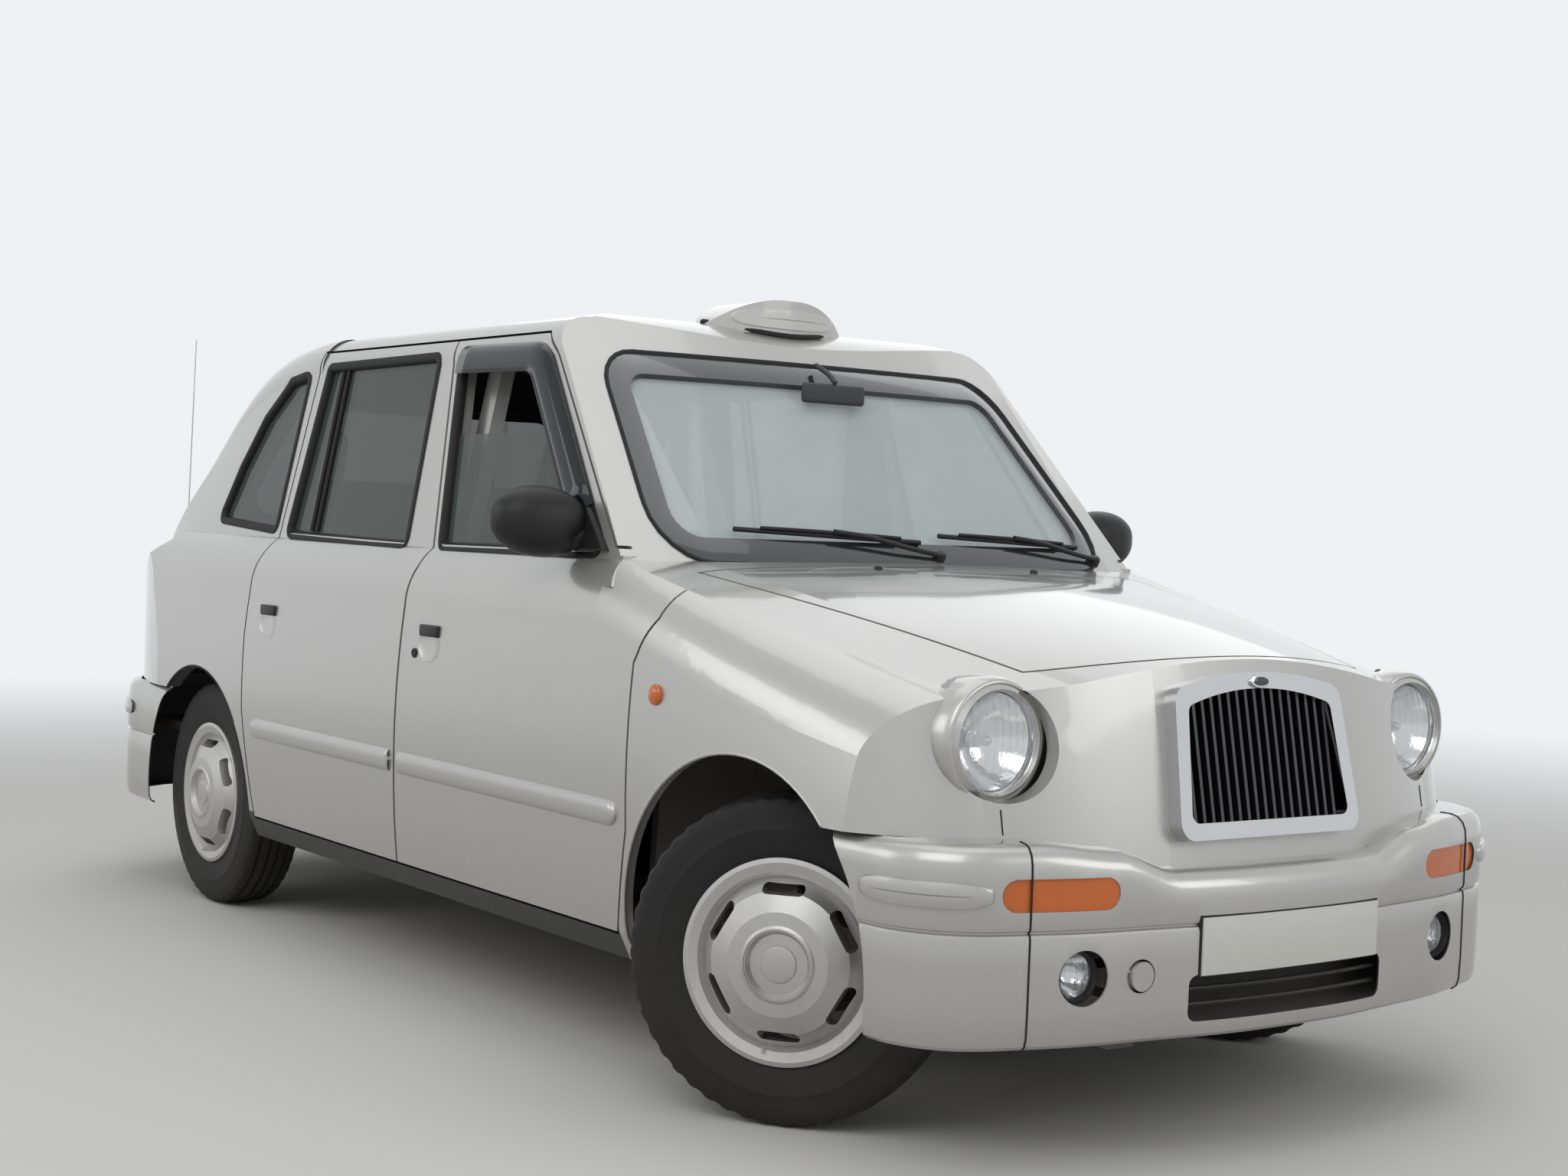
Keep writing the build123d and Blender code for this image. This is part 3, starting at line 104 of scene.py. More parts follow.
weather = bpy.data.node_groups.new("road_weather", "ShaderNodeTree")
for label, kind, value in (
    ("Colour", "NodeSocketColor", (0.5, 0.5, 0.5, 1.0)),
    ("Dirt", "NodeSocketFloat", 0.2),
    ("Mottle", "NodeSocketFloat", 0.05),
    ("Roughness", "NodeSocketFloat", 0.4),
    ("Grain scale", "NodeSocketFloat", 900.0),
    ("Grain height", "NodeSocketFloat", 0.05),
):
    weather.interface.new_socket(name=label, in_out="INPUT", socket_type=kind).default_value = value
for label, kind in (("Colour", "NodeSocketColor"), ("Roughness", "NodeSocketFloat"), ("Normal", "NodeSocketVector")):
    weather.interface.new_socket(name=label, in_out="OUTPUT", socket_type=kind)
entry = weather.nodes.new("NodeGroupInput").outputs
leave = weather.nodes.new("NodeGroupOutput").inputs
cloud = noise(weather, 5.0, 4.0)
speck = noise(weather, 60.0, 5.0)
rise = maths(weather, "DIVIDE", maths(weather, "SUBTRACT", axes(weather)[2], DUST_HEIGHT), DUST_FADE)
low = maths(weather, "POWER", maths(weather, "SUBTRACT", 1.0, rise, clamp=True), DUST_CURVE)
film = maths(weather, "ADD", cloud, maths(weather, "MULTIPLY", speck, 0.6))
film = maths(weather, "MULTIPLY", film, maths(weather, "ADD", low, DUST_ALL_OVER))
film = maths(weather, "MULTIPLY", film, entry["Dirt"], clamp=True)
toned = new_node(weather, "VectorMath", operation="SCALE")
link(weather, entry["Colour"], toned.inputs[0])
mottled = maths(weather, "MULTIPLY_ADD", maths(weather, "SUBTRACT", cloud, 0.5), entry["Mottle"], 1.0)
link(weather, mottled, toned.inputs["Scale"])
link(weather, blend_colours(weather, film, toned.outputs[0], DUST_BROWN), leave["Colour"])
dulled = maths(weather, "ADD", entry["Roughness"], maths(weather, "MULTIPLY", film, DUST_DULLS), clamp=True)
link(weather, dulled, leave["Roughness"])
grained = bump(weather, noise(weather, entry["Grain scale"], 2.0), 0.001, entry["Grain height"])
link(weather, grained.outputs["Normal"], leave["Normal"])


def finish(name, colour, roughness, metallic=0.0, dirt=0.15, mottle=0.08, grain=(900.0, 0.05), slot=None, **values):
    """A finish of the cab: its own colour and gloss under the weather. The slot argument is not used."""
    material = bpy.data.materials.new(name)
    material.use_nodes = True
    tree = material.node_tree
    shader = tree.nodes["Principled BSDF"].inputs
    coat = new_node(tree, "Group", node_tree=weather, name="weather")
    for label, value in (
        ("Colour", (*colour, 1.0)), ("Dirt", dirt), ("Mottle", mottle), ("Roughness", roughness),
        ("Grain scale", grain[0]), ("Grain height", grain[1]),
    ):
        coat.inputs[label].default_value = value
    link(tree, coat.outputs["Colour"], shader["Base Color"])
    link(tree, coat.outputs["Roughness"], shader["Roughness"])
    link(tree, coat.outputs["Normal"], shader["Normal"])
    shader["Metallic"].default_value = metallic
    for label, value in values.items():
        shader[label.replace("_", " ")].default_value = value
    return material


def coat_nodes(material, *names):
    for name in names:
        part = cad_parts[name]
        if not part.material_slots:
            part.data.materials.append(material)
        for slot in part.material_slots:
            slot.material = material


# Painted shell: pressed steel panels in warm silver metallic under clear lacquer.
# The panels' inner faces are dark trim, and shallow dents are pressed behind the door handles and in the bonnet.
TRIM_DARK = (0.055, 0.055, 0.058, 1.0)
ROOF_UNDERSIDE, CAB_MIDDLE = 1.77, (0.0, 0.0, 0.5)
PAINT_METAL, TRIM_ROUGHNESS = 0.55, 0.75
trim_side = bpy.data.node_groups.new("inner_side", "ShaderNodeTree")
trim_side.interface.new_socket(name="Inside", in_out="OUTPUT", socket_type="NodeSocketFloat")
reach = new_node(trim_side, "VectorMath", operation="SUBTRACT")
reach.inputs[1].default_value = CAB_MIDDLE
link(trim_side, object_place(trim_side), reach.inputs[0])
facing = new_node(trim_side, "VectorMath", operation="DOT_PRODUCT")
link(trim_side, reach.outputs[0], facing.inputs[0])
link(trim_side, new_node(trim_side, "TexCoord").outputs["Normal"], facing.inputs[1])
inward_face = maths(trim_side, "LESS_THAN", facing.outputs["Value"], -0.02)
below_roof = maths(trim_side, "LESS_THAN", axes(trim_side)[2], ROOF_UNDERSIDE)
trim_mask = maths(trim_side, "MULTIPLY", inward_face, below_roof)
link(trim_side, trim_mask, trim_side.nodes.new("NodeGroupOutput").inputs["Inside"])


def dent_depth(tree, dents):
    """Oval bowls as (centre, radii), each 1 in its middle and 0 at its rim; a radius of None has no rim."""
    where, depth = axes(tree), None
    for centre, radii in dents:
        total = None
        for axis, radius in enumerate(radii):
            if radius is None:
                continue
            part = maths(tree, "DIVIDE", maths(tree, "SUBTRACT", where[axis], centre[axis]), radius)
            part = maths(tree, "MULTIPLY", part, part)
            total = part if total is None else maths(tree, "ADD", total, part)
        bowl = maths(tree, "POWER", maths(tree, "SUBTRACT", 1.0, total, clamp=True), 0.7)
        depth = bowl if depth is None else maths(tree, "MAXIMUM", depth, bowl)
    return depth


def silver_paint(name, dents=(), slot=None):
    """Silver lacquer with fine flake, dark trim on inner faces and shallow oval dents."""
    material = finish(name, (0.475, 0.47, 0.45), 0.30, metallic=PAINT_METAL, dirt=0.30, mottle=0.07,
                      grain=(2600.0, 0.04), slot=slot, Coat_Weight=1.0, Coat_Roughness=0.06)
    tree = material.node_tree
    shader = tree.nodes["Principled BSDF"].inputs
    coat = tree.nodes["weather"].outputs
    mask = new_node(tree, "Group", node_tree=trim_side).outputs["Inside"]
    lacquered = maths(tree, "SUBTRACT", 1.0, mask)
    link(tree, blend_colours(tree, mask, coat["Colour"], TRIM_DARK), shader["Base Color"])
    link(tree, maths(tree, "MULTIPLY", lacquered, PAINT_METAL), shader["Metallic"])
    link(tree, lacquered, shader["Coat Weight"])
    rough_trim = maths(tree, "MULTIPLY", mask, TRIM_ROUGHNESS)
    link(tree, maths(tree, "MAXIMUM", coat["Roughness"], rough_trim), shader["Roughness"])
    if dents:
        pressing = bump(tree, dent_depth(tree, dents), 0.012, 1.0)
        pressing.invert = True
        link(tree, coat["Normal"], pressing.inputs["Normal"])
        link(tree, pressing.outputs["Normal"], shader["Normal"])
    return material


shell_paint = silver_paint("shell_paint", slot="silver_paint")
coat_nodes(shell_paint, "roof_panel", "cowl_and_pillars", "front_wings", "rear_body", "boot_lid", "front_bumper",
           "rear_bumper", "headlamp_rings", "centre_posts")
HANDLE_X = {"front": 0.175, "rear": -0.845}
door_paint = silver_paint("door_paint", [((x, 0, 0.905), (0.060, None, 0.046)) for x in HANDLE_X.values()])
coat_nodes(door_paint, "front_left_door", "front_right_door", "rear_left_door", "rear_right_door")
bonnet_paint = silver_paint("bonnet_paint", [((1.235, y, 0), (0.10, 0.17, None)) for y in (0.30, -0.30)])
coat_nodes(bonnet_paint, "bonnet")

# Sills: a painted steel box under the doors, with a black stone-guard strip along its foot.
# Both are one pressing, and the strip's upper edge is straight and level.
SILL_EDGE, SILL_BLACK = 0.338, (0.020, 0.019, 0.018, 1.0)
sill_finish = silver_paint("sill_finish")
sill_tree = sill_finish.node_tree
sill_shader = sill_tree.nodes["Principled BSDF"].inputs
guarded = maths(sill_tree, "LESS_THAN", axes(sill_tree)[2], SILL_EDGE)
painted = maths(sill_tree, "SUBTRACT", 1.0, guarded)
for label in ("Metallic", "Coat Weight"):
    before = sill_shader[label].links[0].from_socket
    link(sill_tree, maths(sill_tree, "MULTIPLY", before, painted), sill_shader[label])
sill_silver = sill_shader["Base Color"].links[0].from_socket
link(sill_tree, blend_colours(sill_tree, guarded, sill_silver, SILL_BLACK), sill_shader["Base Color"])
coat_nodes(sill_finish, "sills")

# Black mouldings: grained polypropylene mirror shells and grille slats, clipped on and bleached a little by weather.
# The rubber of the seals is duller and takes less light.
moulding = finish("black_moulding", (0.013, 0.013, 0.014), 0.40, dirt=0.10, mottle=0.3, grain=(1400.0, 0.20),
                  slot="black_plastic", Specular_IOR_Level=0.28)
coat_nodes(moulding, "left_mirror", "right_mirror")
slat_black = finish("slat_black", (0.006, 0.006, 0.008), 0.24, dirt=0.03, mottle=0.2, grain=(900.0, 0.05),
                    slot="black_plastic", Coat_Weight=0.5, Coat_Roughness=0.1)
coat_nodes(slat_black, "grille_slats")
seal_rubber = finish("seal_rubber", (0.009, 0.009, 0.010), 0.58, dirt=0.10, mottle=0.2, grain=(700.0, 0.2),
                     slot="black_plastic", Specular_IOR_Level=0.25)

# Bright and cast metal: chrome of the grille frame, silver wheel covers, and iron of the running gear.
# The underside is sealed in black, and everything near the road carries more dust.
chrome = finish("grille_chrome", (0.60, 0.60, 0.61), 0.07, metallic=1.0, dirt=0.04, mottle=0.03,
                grain=(300.0, 0.02), slot="grille_chrome")
coat_nodes(chrome, "grille_surround")
wheel_silver = finish("wheel_silver", (0.55, 0.55, 0.545), 0.33, metallic=0.75, dirt=0.45, mottle=0.10,
                      grain=(2200.0, 0.10), slot="wheel_steel", Coat_Weight=0.6, Coat_Roughness=0.12)
coat_nodes(wheel_silver, "front_left_rim", "front_right_rim", "rear_left_rim", "rear_right_rim")
iron = finish("gear_iron", (0.055, 0.048, 0.042), 0.62, metallic=0.6, dirt=0.6, mottle=0.5, grain=(260.0, 0.5))
coat_nodes(iron, "front_arms", "rear_axle", "front_left_knuckle", "front_right_knuckle", "engine_block")
underbody = finish("underbody_black", (0.028, 0.027, 0.026), 0.75, dirt=0.7, mottle=0.4, grain=(180.0, 0.5))
coat_nodes(underbody, "chassis_frame", "floor_pan")
tyre_rubber = finish("tyre_rubber", (0.012, 0.012, 0.013), 0.62, dirt=0.06, mottle=0.35, grain=(500.0, 0.3),
                     slot="tyre_rubber", Specular_IOR_Level=0.25)
coat_nodes(tyre_rubber, "front_left_tyre", "front_right_tyre", "rear_left_tyre", "rear_right_tyre")

# Glass: smoked green safety glass in the doors and behind, each pane one bent sheet held by its rubber.
# The raked windscreen is clearer, and its pale colour is a painted reflection of the sky.
SMOKED = (0.10, 0.125, 0.115)
SMOKED_ALPHA, SCREEN_CLEARER, SCREEN_FROM = 0.62, -0.16, 0.30


def clear_finish(name, colour, alpha, roughness=0.02):
    material = bpy.data.materials.new(name)
    material.use_nodes = True
    tree = material.node_tree
    shader = tree.nodes["Principled BSDF"].inputs
    smear = noise(tree, 9.0, 4.0)
    smeared = blend_colours(tree, smear, (*colour, 1.0), (*[c * 0.9 for c in colour], 1.0))
    link(tree, smeared, shader["Base Color"])
    link(tree, maths(tree, "MULTIPLY_ADD", smear, 0.03, roughness), shader["Roughness"])
    shader["IOR"].default_value = 1.45
    shader["Alpha"].default_value = alpha
    return material


side_glass = clear_finish("side_glass", SMOKED, SMOKED_ALPHA)
coat_nodes(side_glass, "front_left_glass", "front_right_glass", "rear_left_glass", "rear_right_glass")
screen_glass = clear_finish("screen_glass", (0.78, 0.86, 0.85), 0.40)
screen_tree = screen_glass.node_tree
screen_shader = screen_tree.nodes["Principled BSDF"].inputs
# Ahead of SCREEN_FROM the glass takes a pale colour, a painted reflection of the sky.
painted_sky_reflection = screen_shader["Base Color"].links[0].from_socket
in_screen = maths(screen_tree, "GREATER_THAN", axes(screen_tree)[0], SCREEN_FROM)
link(screen_tree, blend_colours(screen_tree, in_screen, (*SMOKED, 1.0), painted_sky_reflection), screen_shader["Base Color"])
screen_alpha = maths(screen_tree, "MULTIPLY_ADD", in_screen, SCREEN_CLEARER, SMOKED_ALPHA)
link(screen_tree, screen_alpha, screen_shader["Alpha"])
coat_nodes(screen_glass, "fixed_glass")

# Lamps' own finishes: pressed amber and red plastic with a hard gloss, and bright metallised bowls.
# All three are moulded, so a fine pattern breaks their surface.
amber = finish("amber_lens", (0.62, 0.13, 0.006), 0.16, dirt=0.03, mottle=0.25, grain=(240.0, 0.5),
               slot="amber_lens", Coat_Weight=0.4, Coat_Roughness=0.06)
coat_nodes(amber, "indicator_lamps")
red_lens = finish("red_lens", (0.42, 0.008, 0.008), 0.16, dirt=0.1, mottle=0.2, grain=(240.0, 0.4),
                  Coat_Weight=1.0, Coat_Roughness=0.04)
coat_nodes(red_lens, "rear_lamps")
lamp_bright = finish("lamp_bright", (0.72, 0.74, 0.75), 0.14, metallic=0.85, dirt=0.1, mottle=0.2,
                     grain=(140.0, 0.9), Coat_Weight=1.0, Coat_Roughness=0.03)
coat_nodes(lamp_bright, "headlamps", "fog_lamps")

# Cabin and sign: grained dark mouldings inside, cloth on the seats, and a pale gloss shell on the roof.
# The partition's upper half is two panes of clear polycarbonate in its dark frame.
PANE_INNER, PANE_OUTER, PANE_FOOT, PANE_TOP = 0.025, 0.60, 1.16, 1.62
cabin_moulding = finish("cabin_moulding", (0.035, 0.036, 0.038), 0.6, dirt=0.1, mottle=0.15,
                        grain=(1000.0, 0.10), slot="cabin_plastic")
coat_nodes(cabin_moulding, "dashboard", "steering_wheel")
screen_wall = finish("partition_screen", (0.035, 0.036, 0.038), 0.45, dirt=0.05, mottle=0.1, grain=(800.0, 0.04))
wall_tree = screen_wall.node_tree
wall_place = axes(wall_tree)
across = maths(wall_tree, "ABSOLUTE", wall_place[1])
pane_mask = 1.0
for operation, value, limit in (
    ("LESS_THAN", across, PANE_OUTER), ("GREATER_THAN", across, PANE_INNER),
    ("GREATER_THAN", wall_place[2], PANE_FOOT), ("LESS_THAN", wall_place[2], PANE_TOP),
):
    pane_mask = maths(wall_tree, "MULTIPLY", pane_mask, maths(wall_tree, operation, value, limit))
wall_alpha = maths(wall_tree, "MULTIPLY_ADD", pane_mask, -0.88, 1.0)
link(wall_tree, wall_alpha, wall_tree.nodes["Principled BSDF"].inputs["Alpha"])
coat_nodes(screen_wall, "partition")
sign_shell = finish("sign_shell", (0.60, 0.595, 0.57), 0.28, dirt=0.25, mottle=0.06, grain=(700.0, 0.06),
                    Coat_Weight=0.6, Coat_Roughness=0.08)
coat_nodes(sign_shell, "roof_sign")
seat_cloth = finish("seat_cloth", (0.10, 0.105, 0.115), 0.85, dirt=0.1, mottle=0.2, grain=(1600.0, 0.6),
                    Sheen_Weight=0.4, Sheen_Roughness=0.4)
coat_nodes(seat_cloth, "driver_seat", "folding_seats", "rear_bench")

# Front bumper: one painted plastic moulding that rolls back to the nose in a shelf and wraps to the wheel arches.
# It is swept along its plan line with a rolled top lip, and its lamp, slot and towing openings are cut through.
SIDES = (("left", 1), ("right", -1))
SKIN = 0.004
AXLE_HEIGHT = 0.345
ARCH_X = {"front": 1.5455, "rear": -1.3785}
FRONT_PLAN = [
    (2.2870, 0.0), (2.2815, 0.17), (2.2575, 0.34), (2.2295, 0.53), (2.1835, 0.692), (2.157, 0.755),
    (2.1215, 0.800), (2.074, 0.834), (2.010, 0.857), (1.93, 0.8625), (1.84, 0.868), (1.745, 0.876),
]
# Rows of height, or drop from the top, and inset; the last inset is the shelf's.
PROFILE = [
    (0.266, 0.034), (0.266, 0.018), (0.274, 0.007), (0.290, 0.002), (0.34, 0.0), (0.42, 0.0), (0.478, 0.0),
    (0.486, 0.002), (0.489, 0.007), (0.492, 0.007), (0.495, 0.002), (0.503, 0.0), (-0.055, 0.0), (-0.034, 0.002),
    (-0.018, 0.008), (-0.006, 0.020), (-0.001, 0.036), (0.0, 0.060), (0.0, None),
]
JOINT_ROW = 4
FRONT_SHELF, SHELF_TURN = (0.030, 0.105), 1.3
TOP_LINE = [(0.0, 0.596), (0.30, 0.596), (0.45, 0.640), (0.62, 0.656), (2.0, 0.656)]
FOG_Y, FOG_Z = 0.531, 0.401
TOW_Y, TOW_Z = -0.400, 0.398
INDICATOR_Y, INDICATOR_Z, INDICATOR_HALF, INDICATOR_RISE = 0.580, 0.562, 0.1235, 0.0315


def smooth_line(points, steps):
    """Points on a smooth line through the given ones."""
    points = [Vector(p) for p in points]
    ends = [2 * points[0] - points[1], *points, 2 * points[-1] - points[-2]]
    line = []
    for a, b, c, d in zip(ends, ends[1:], ends[2:], ends[3:]):
        for step in range(steps):
            t = step / steps
            square, cube = 2 * a - 5 * b + 4 * c - d, 3 * b - a - 3 * c + d
            line.append(0.5 * (2 * b + (c - a) * t + square * t * t + cube * t ** 3))
    line.append(points[-1])
    return line


def lone(piece):
    """Makes this piece the only selected and the active one."""
    bpy.ops.object.select_all(action="DESELECT")
    piece.select_set(True)
    bpy.context.view_layer.objects.active = piece


def placed(name, data):
    piece = bpy.data.objects.new(name, data)
    bpy.context.scene.collection.objects.link(piece)
    lone(piece)
    return piece


def woven(name, rows, loop=False, ends=False):
    """A sheet of quads through rows of points; loop closes each row, and ends closes the first and last rows."""
    count, last = len(rows[0]), (len(rows) - 1) * len(rows[0])
    faces = []
    for i in range(0, last, count):
        for j in range(count if loop else count - 1):
            k = (j + 1) % count
            faces.append((i + j, i + k, i + count + k, i + count + j))
    if ends:
        faces += [tuple(range(last, last + count)), tuple(reversed(range(count)))]
    mesh = bpy.data.meshes.new(name)
    mesh.from_pydata([tuple(p) for row in rows for p in row], [], faces)
    return placed(name, mesh)


def apply_all(piece):
    bpy.context.view_layer.objects.active = piece
    for modifier in list(piece.modifiers):
        bpy.ops.object.modifier_apply(modifier=modifier.name)


def outward(piece):
    bpy.context.view_layer.objects.active = piece
    bpy.ops.object.mode_set(mode="EDIT")
    bpy.ops.mesh.select_all(action="SELECT")
    bpy.ops.mesh.remove_doubles(threshold=0.00005)
    bpy.ops.mesh.normals_make_consistent(inside=False)
    bpy.ops.object.mode_set(mode="OBJECT")


def thicken(piece, depth):
    wall = piece.modifiers.new("wall", "SOLIDIFY")
    wall.thickness = depth
    wall.offset = -1.0
    apply_all(piece)


def bevel(piece, width, segments):
    edge = piece.modifiers.new("edge", "BEVEL")
    edge.width = width
    edge.segments = segments
    apply_all(piece)


def dress(piece, material, body="body", angle=35.0, name=None):
    """Gives a piece its finish and body, smooths it by angle and puts its place into its mesh."""
    lone(piece)
    bpy.ops.object.transform_apply(location=True, rotation=True, scale=True)
    piece.name = name or piece.name
    piece.data.materials.clear()
    piece.data.materials.append(material)
    bpy.ops.object.shade_smooth_by_angle(angle=math.radians(angle))
    bpy.ops.object.select_all(action="DESELECT")
    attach(piece, body)
    return piece


def cut_with(piece, cutters):
    for cutter in cutters:
        cut = piece.modifiers.new("cut", "BOOLEAN")
        cut.operation = "DIFFERENCE"
        cut.solver = "EXACT"
        cut.object = cutter
        apply_all(piece)
        bpy.data.objects.remove(cutter)


def rod(place, way, radius, length, sides=48):
    turn = Vector(way).to_track_quat("Z", "Y").to_euler()
    bpy.ops.mesh.primitive_cylinder_add(vertices=sides, radius=radius, depth=length, location=place, rotation=turn)
    return bpy.context.object


def block(low, high, edge=0.0, segments=4):
    bpy.ops.mesh.primitive_cube_add(size=1.0, location=[(a + b) / 2 for a, b in zip(low, high)])
    piece = bpy.context.object
    piece.scale = [b - a for a, b in zip(low, high)]
    bpy.ops.object.transform_apply(location=True, rotation=True, scale=True)
    if edge:
        bevel(piece, edge, segments)
    return piece


def swept_bumper(name, plan, top_at, shelf):
    """The profile's rows along a half plan line and its mirror image, as a skin of even thickness.

    shelf is the top's depth on the cab's sides, and what it gains across the nose or tail.
    """
    side_depth, gain = shelf
    mirrored = [(x, -y, 0.0) for x, y in reversed(plan)] + [(x, y, 0.0) for x, y in plan[1:]]
    line = smooth_line(mirrored, 6)
    rows = []
    for i, point in enumerate(line):
        before, after = line[max(i - 1, 0)], line[min(i + 1, len(line) - 1)]
        along = (after - before).normalized()
        inward = Vector((-along.y, along.x, 0.0))
        if inward.dot(point) > 0:
            inward = -inward
        top, depth = top_at(abs(point.y)), side_depth + gain * min(1.0, abs(inward.x) * SHELF_TURN)
        row = []
        for height, inset in PROFILE:
            z = top + height if height <= 0 else height
            spot = Vector((point.x, point.y, z))
            row.append(spot + inward * (depth if inset is None else min(inset, depth)))
        rows.append(row)
    skin = woven(name, rows)
    outward(skin)
    thicken(skin, SKIN)
    return skin, rows


def front_top(y):
    """Height of the front bumper's top, which dips in the middle under the grille."""
    for (y0, z0), (y1, z1) in zip(TOP_LINE, TOP_LINE[1:]):
        if y <= y1:
            t = (y - y0) / (y1 - y0)
            return z0 + (z1 - z0) * t * t * (3 - 2 * t)


front_skin, front_rows = swept_bumper("front_bumper_skin", FRONT_PLAN, front_top, FRONT_SHELF)
openings = [
    rod((ARCH_X["front"], 0.0, AXLE_HEIGHT), (0, 1, 0), 0.425, 2.2, 128),
    block((2.0, -0.285, 0.300), (2.4, 0.285, 0.392), 0.02),
    block((2.262, -0.264, 0.386), (2.4, 0.264, 0.509)),
    rod((2.25, TOW_Y, TOW_Z), (1, 0, 0), 0.033, 0.3),
]
for side, s in SIDES:
    openings.append(rod((2.25, s * FOG_Y, FOG_Z), (1, 0, 0), 0.054, 0.4))
    low = (2.05, s * INDICATOR_Y - INDICATOR_HALF, INDICATOR_Z - INDICATOR_RISE)
    high = (2.45, s * INDICATOR_Y + INDICATOR_HALF, INDICATOR_Z + INDICATOR_RISE)
    openings.append(block(low, high, 0.031, 8))
cut_with(front_skin, openings)
dress(front_skin, shell_paint, angle=30.0)
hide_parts("front_bumper")

# Rear bumper: the same painted moulding turned round the tail, with a plain straight top.
# Wheel arch ends are cut from it, as at the front.
REAR_PLAN = [
    (-2.2870, 0.0), (-2.2835, 0.21), (-2.2700, 0.42), (-2.2500, 0.64), (-2.226, 0.705), (-2.1955, 0.7555),
    (-2.157, 0.800), (-2.1100, 0.8375), (-2.047, 0.861), (-1.9800, 0.8775), (-1.87, 0.882), (-1.75, 0.888),
    (-1.58, 0.892),
]
REAR_TOP, REAR_SHELF = 0.655, (0.020, 0.055)
rear_skin, rear_rows = swept_bumper("rear_bumper_skin", REAR_PLAN, lambda y: REAR_TOP, REAR_SHELF)
cut_with(rear_skin, [rod((ARCH_X["rear"], 0.0, AXLE_HEIGHT), (0, 1, 0), 0.396, 2.2, 128)])
dress(rear_skin, shell_paint, angle=30.0)
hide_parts("rear_bumper")


# Bumper joints: the gaps between each bumper's middle and its corners, seen as thin dark lines.
# Each is a fine bead laid down the skin along one row of its section.
def bead(name, points, radius, material, body="body", steps=1, loop=False):
    """A round bead or bar along points, drawn through them as a smooth line where steps is over 1."""
    curve = bpy.data.curves.new(name, "CURVE")
    curve.dimensions = "3D"
    curve.bevel_depth = radius
    curve.bevel_resolution = 3
    curve.use_fill_caps = True
    line = smooth_line(points, steps) if steps > 1 else [Vector(p) for p in points]
    strand = curve.splines.new("POLY")
    strand.points.add(len(line) - 1)
    for spot, point in zip(strand.points, line):
        spot.co = (*point, 1.0)
    strand.use_cyclic_u = loop
    placed(name, curve)
    bpy.ops.object.convert(target="MESH")
    return dress(bpy.context.object, material, body, 60.0, name)


for end, rows, x, y in (("front", front_rows, 2.196, 0.655), ("rear", rear_rows, -2.215, 0.72)):
    for side, s in SIDES:
        row = min(rows, key=lambda r: (r[JOINT_ROW] - Vector((x, s * y, 0.34))).length)
        bead(f"{end}_bumper_joint_{side}", row[1:-1], 0.0022, seal_rubber)


# Bumper corner pads: low rounded pads of the bumpers' own plastic, which take knocks in parking.
# Anything fixed on a panel is laid on it by casting towards the solids, so it follows their curves.
def touch(names, start, way):
    """Nearest point of these nodes or pieces from start along way, or None."""
    start, way = Vector(start), Vector(way).normalized()
    best = None
    for name in names:
        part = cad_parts[name] if isinstance(name, str) else name
        hit, spot, _, _ = part.ray_cast(start, way)
        if hit and (best is None or (spot - start).length < (best - start).length):
            best = spot.copy()
    return best


def on_flank(names, s, x, z):
    """Point of a side panel at this x and z, cast from well outside the cab."""
    return touch(names, (x, s * 1.4, z), (0, -s, 0))


def patch(name, names, centre, across, up, way, size, height, squareness, material, body="body",
          cells=28, dome=0.35):
    """A pad laid on a panel: a rounded oblong seen along way, raised by height with a rolled edge."""
    centre, across, up, way = Vector(centre), *(Vector(v).normalized() for v in (across, up, way))
    half_w, half_h = size[0] / 2, size[1] / 2
    rings = []
    for shrink, lift in (
        (1.0, -0.0015), (1.0, height * 0.45), (0.985, height * 0.8), (0.95, height),
        (0.75, height * (1 + dome * 0.5)), (0.4, height * (1 + dome)), (0.04, height * (1 + dome)),
    ):
        inset = (1 - shrink) * min(half_w, half_h)
        ring = []
        for k in range(cells * 4):
            a = 2 * math.pi * k / (cells * 4)
            u = math.copysign(abs(math.cos(a)) ** squareness, math.cos(a)) * (half_w - inset)
            v = math.copysign(abs(math.sin(a)) ** squareness, math.sin(a)) * (half_h - inset)
            aim = centre + across * u + up * v
            ring.append((touch(names, aim - way * 0.5, way) or aim) - way * lift)
        rings.append(ring)
    piece = woven(name, rings, loop=True, ends=True)
    outward(piece)
    return dress(piece, material, body, 40.0)


for end, skin, x, y, turn in (("front", front_skin, 2.092, 0.84, 0.62), ("rear", rear_skin, -2.08, 0.86, -0.55)):
    for side, s in SIDES:
        way = Vector((-turn, -s, 0)).normalized()
        patch(f"{end}_{side}_bumper_pad", [skin], (x, s * y, INDICATOR_Z), (s * way.y, -s * way.x, 0), (0, 0, 1),
              way, (0.27, 0.050), 0.008, 0.55, shell_paint)

# Intake: a black moulded grid behind the bumper's slot.
# It is a back wall and two bars that follow the bumper's bow.
dress(block((2.185, -0.435, 0.272), (2.195, 0.435, 0.480), 0.003), moulding, angle=30.0, name="intake_wall")
for level, z in (("low", 0.330), ("high", 0.361)):
    bow = [(2.262 - 0.24 * y * y, y, z) for y in (-0.295, -0.15, 0.0, 0.15, 0.295)]
    bead(f"intake_bar_{level}", bow, 0.005, moulding, steps=4)

# Number plates: plain reflective sheets, white in a black holder bent to the nose, and yellow on the boot lid.
# The front holder and its sheet are slabs with the bumper's bow; the rear sheet is a thin pad on the lid.
BOW, BOW_AT, SLAB_STEPS = 0.010, 0.26, 24


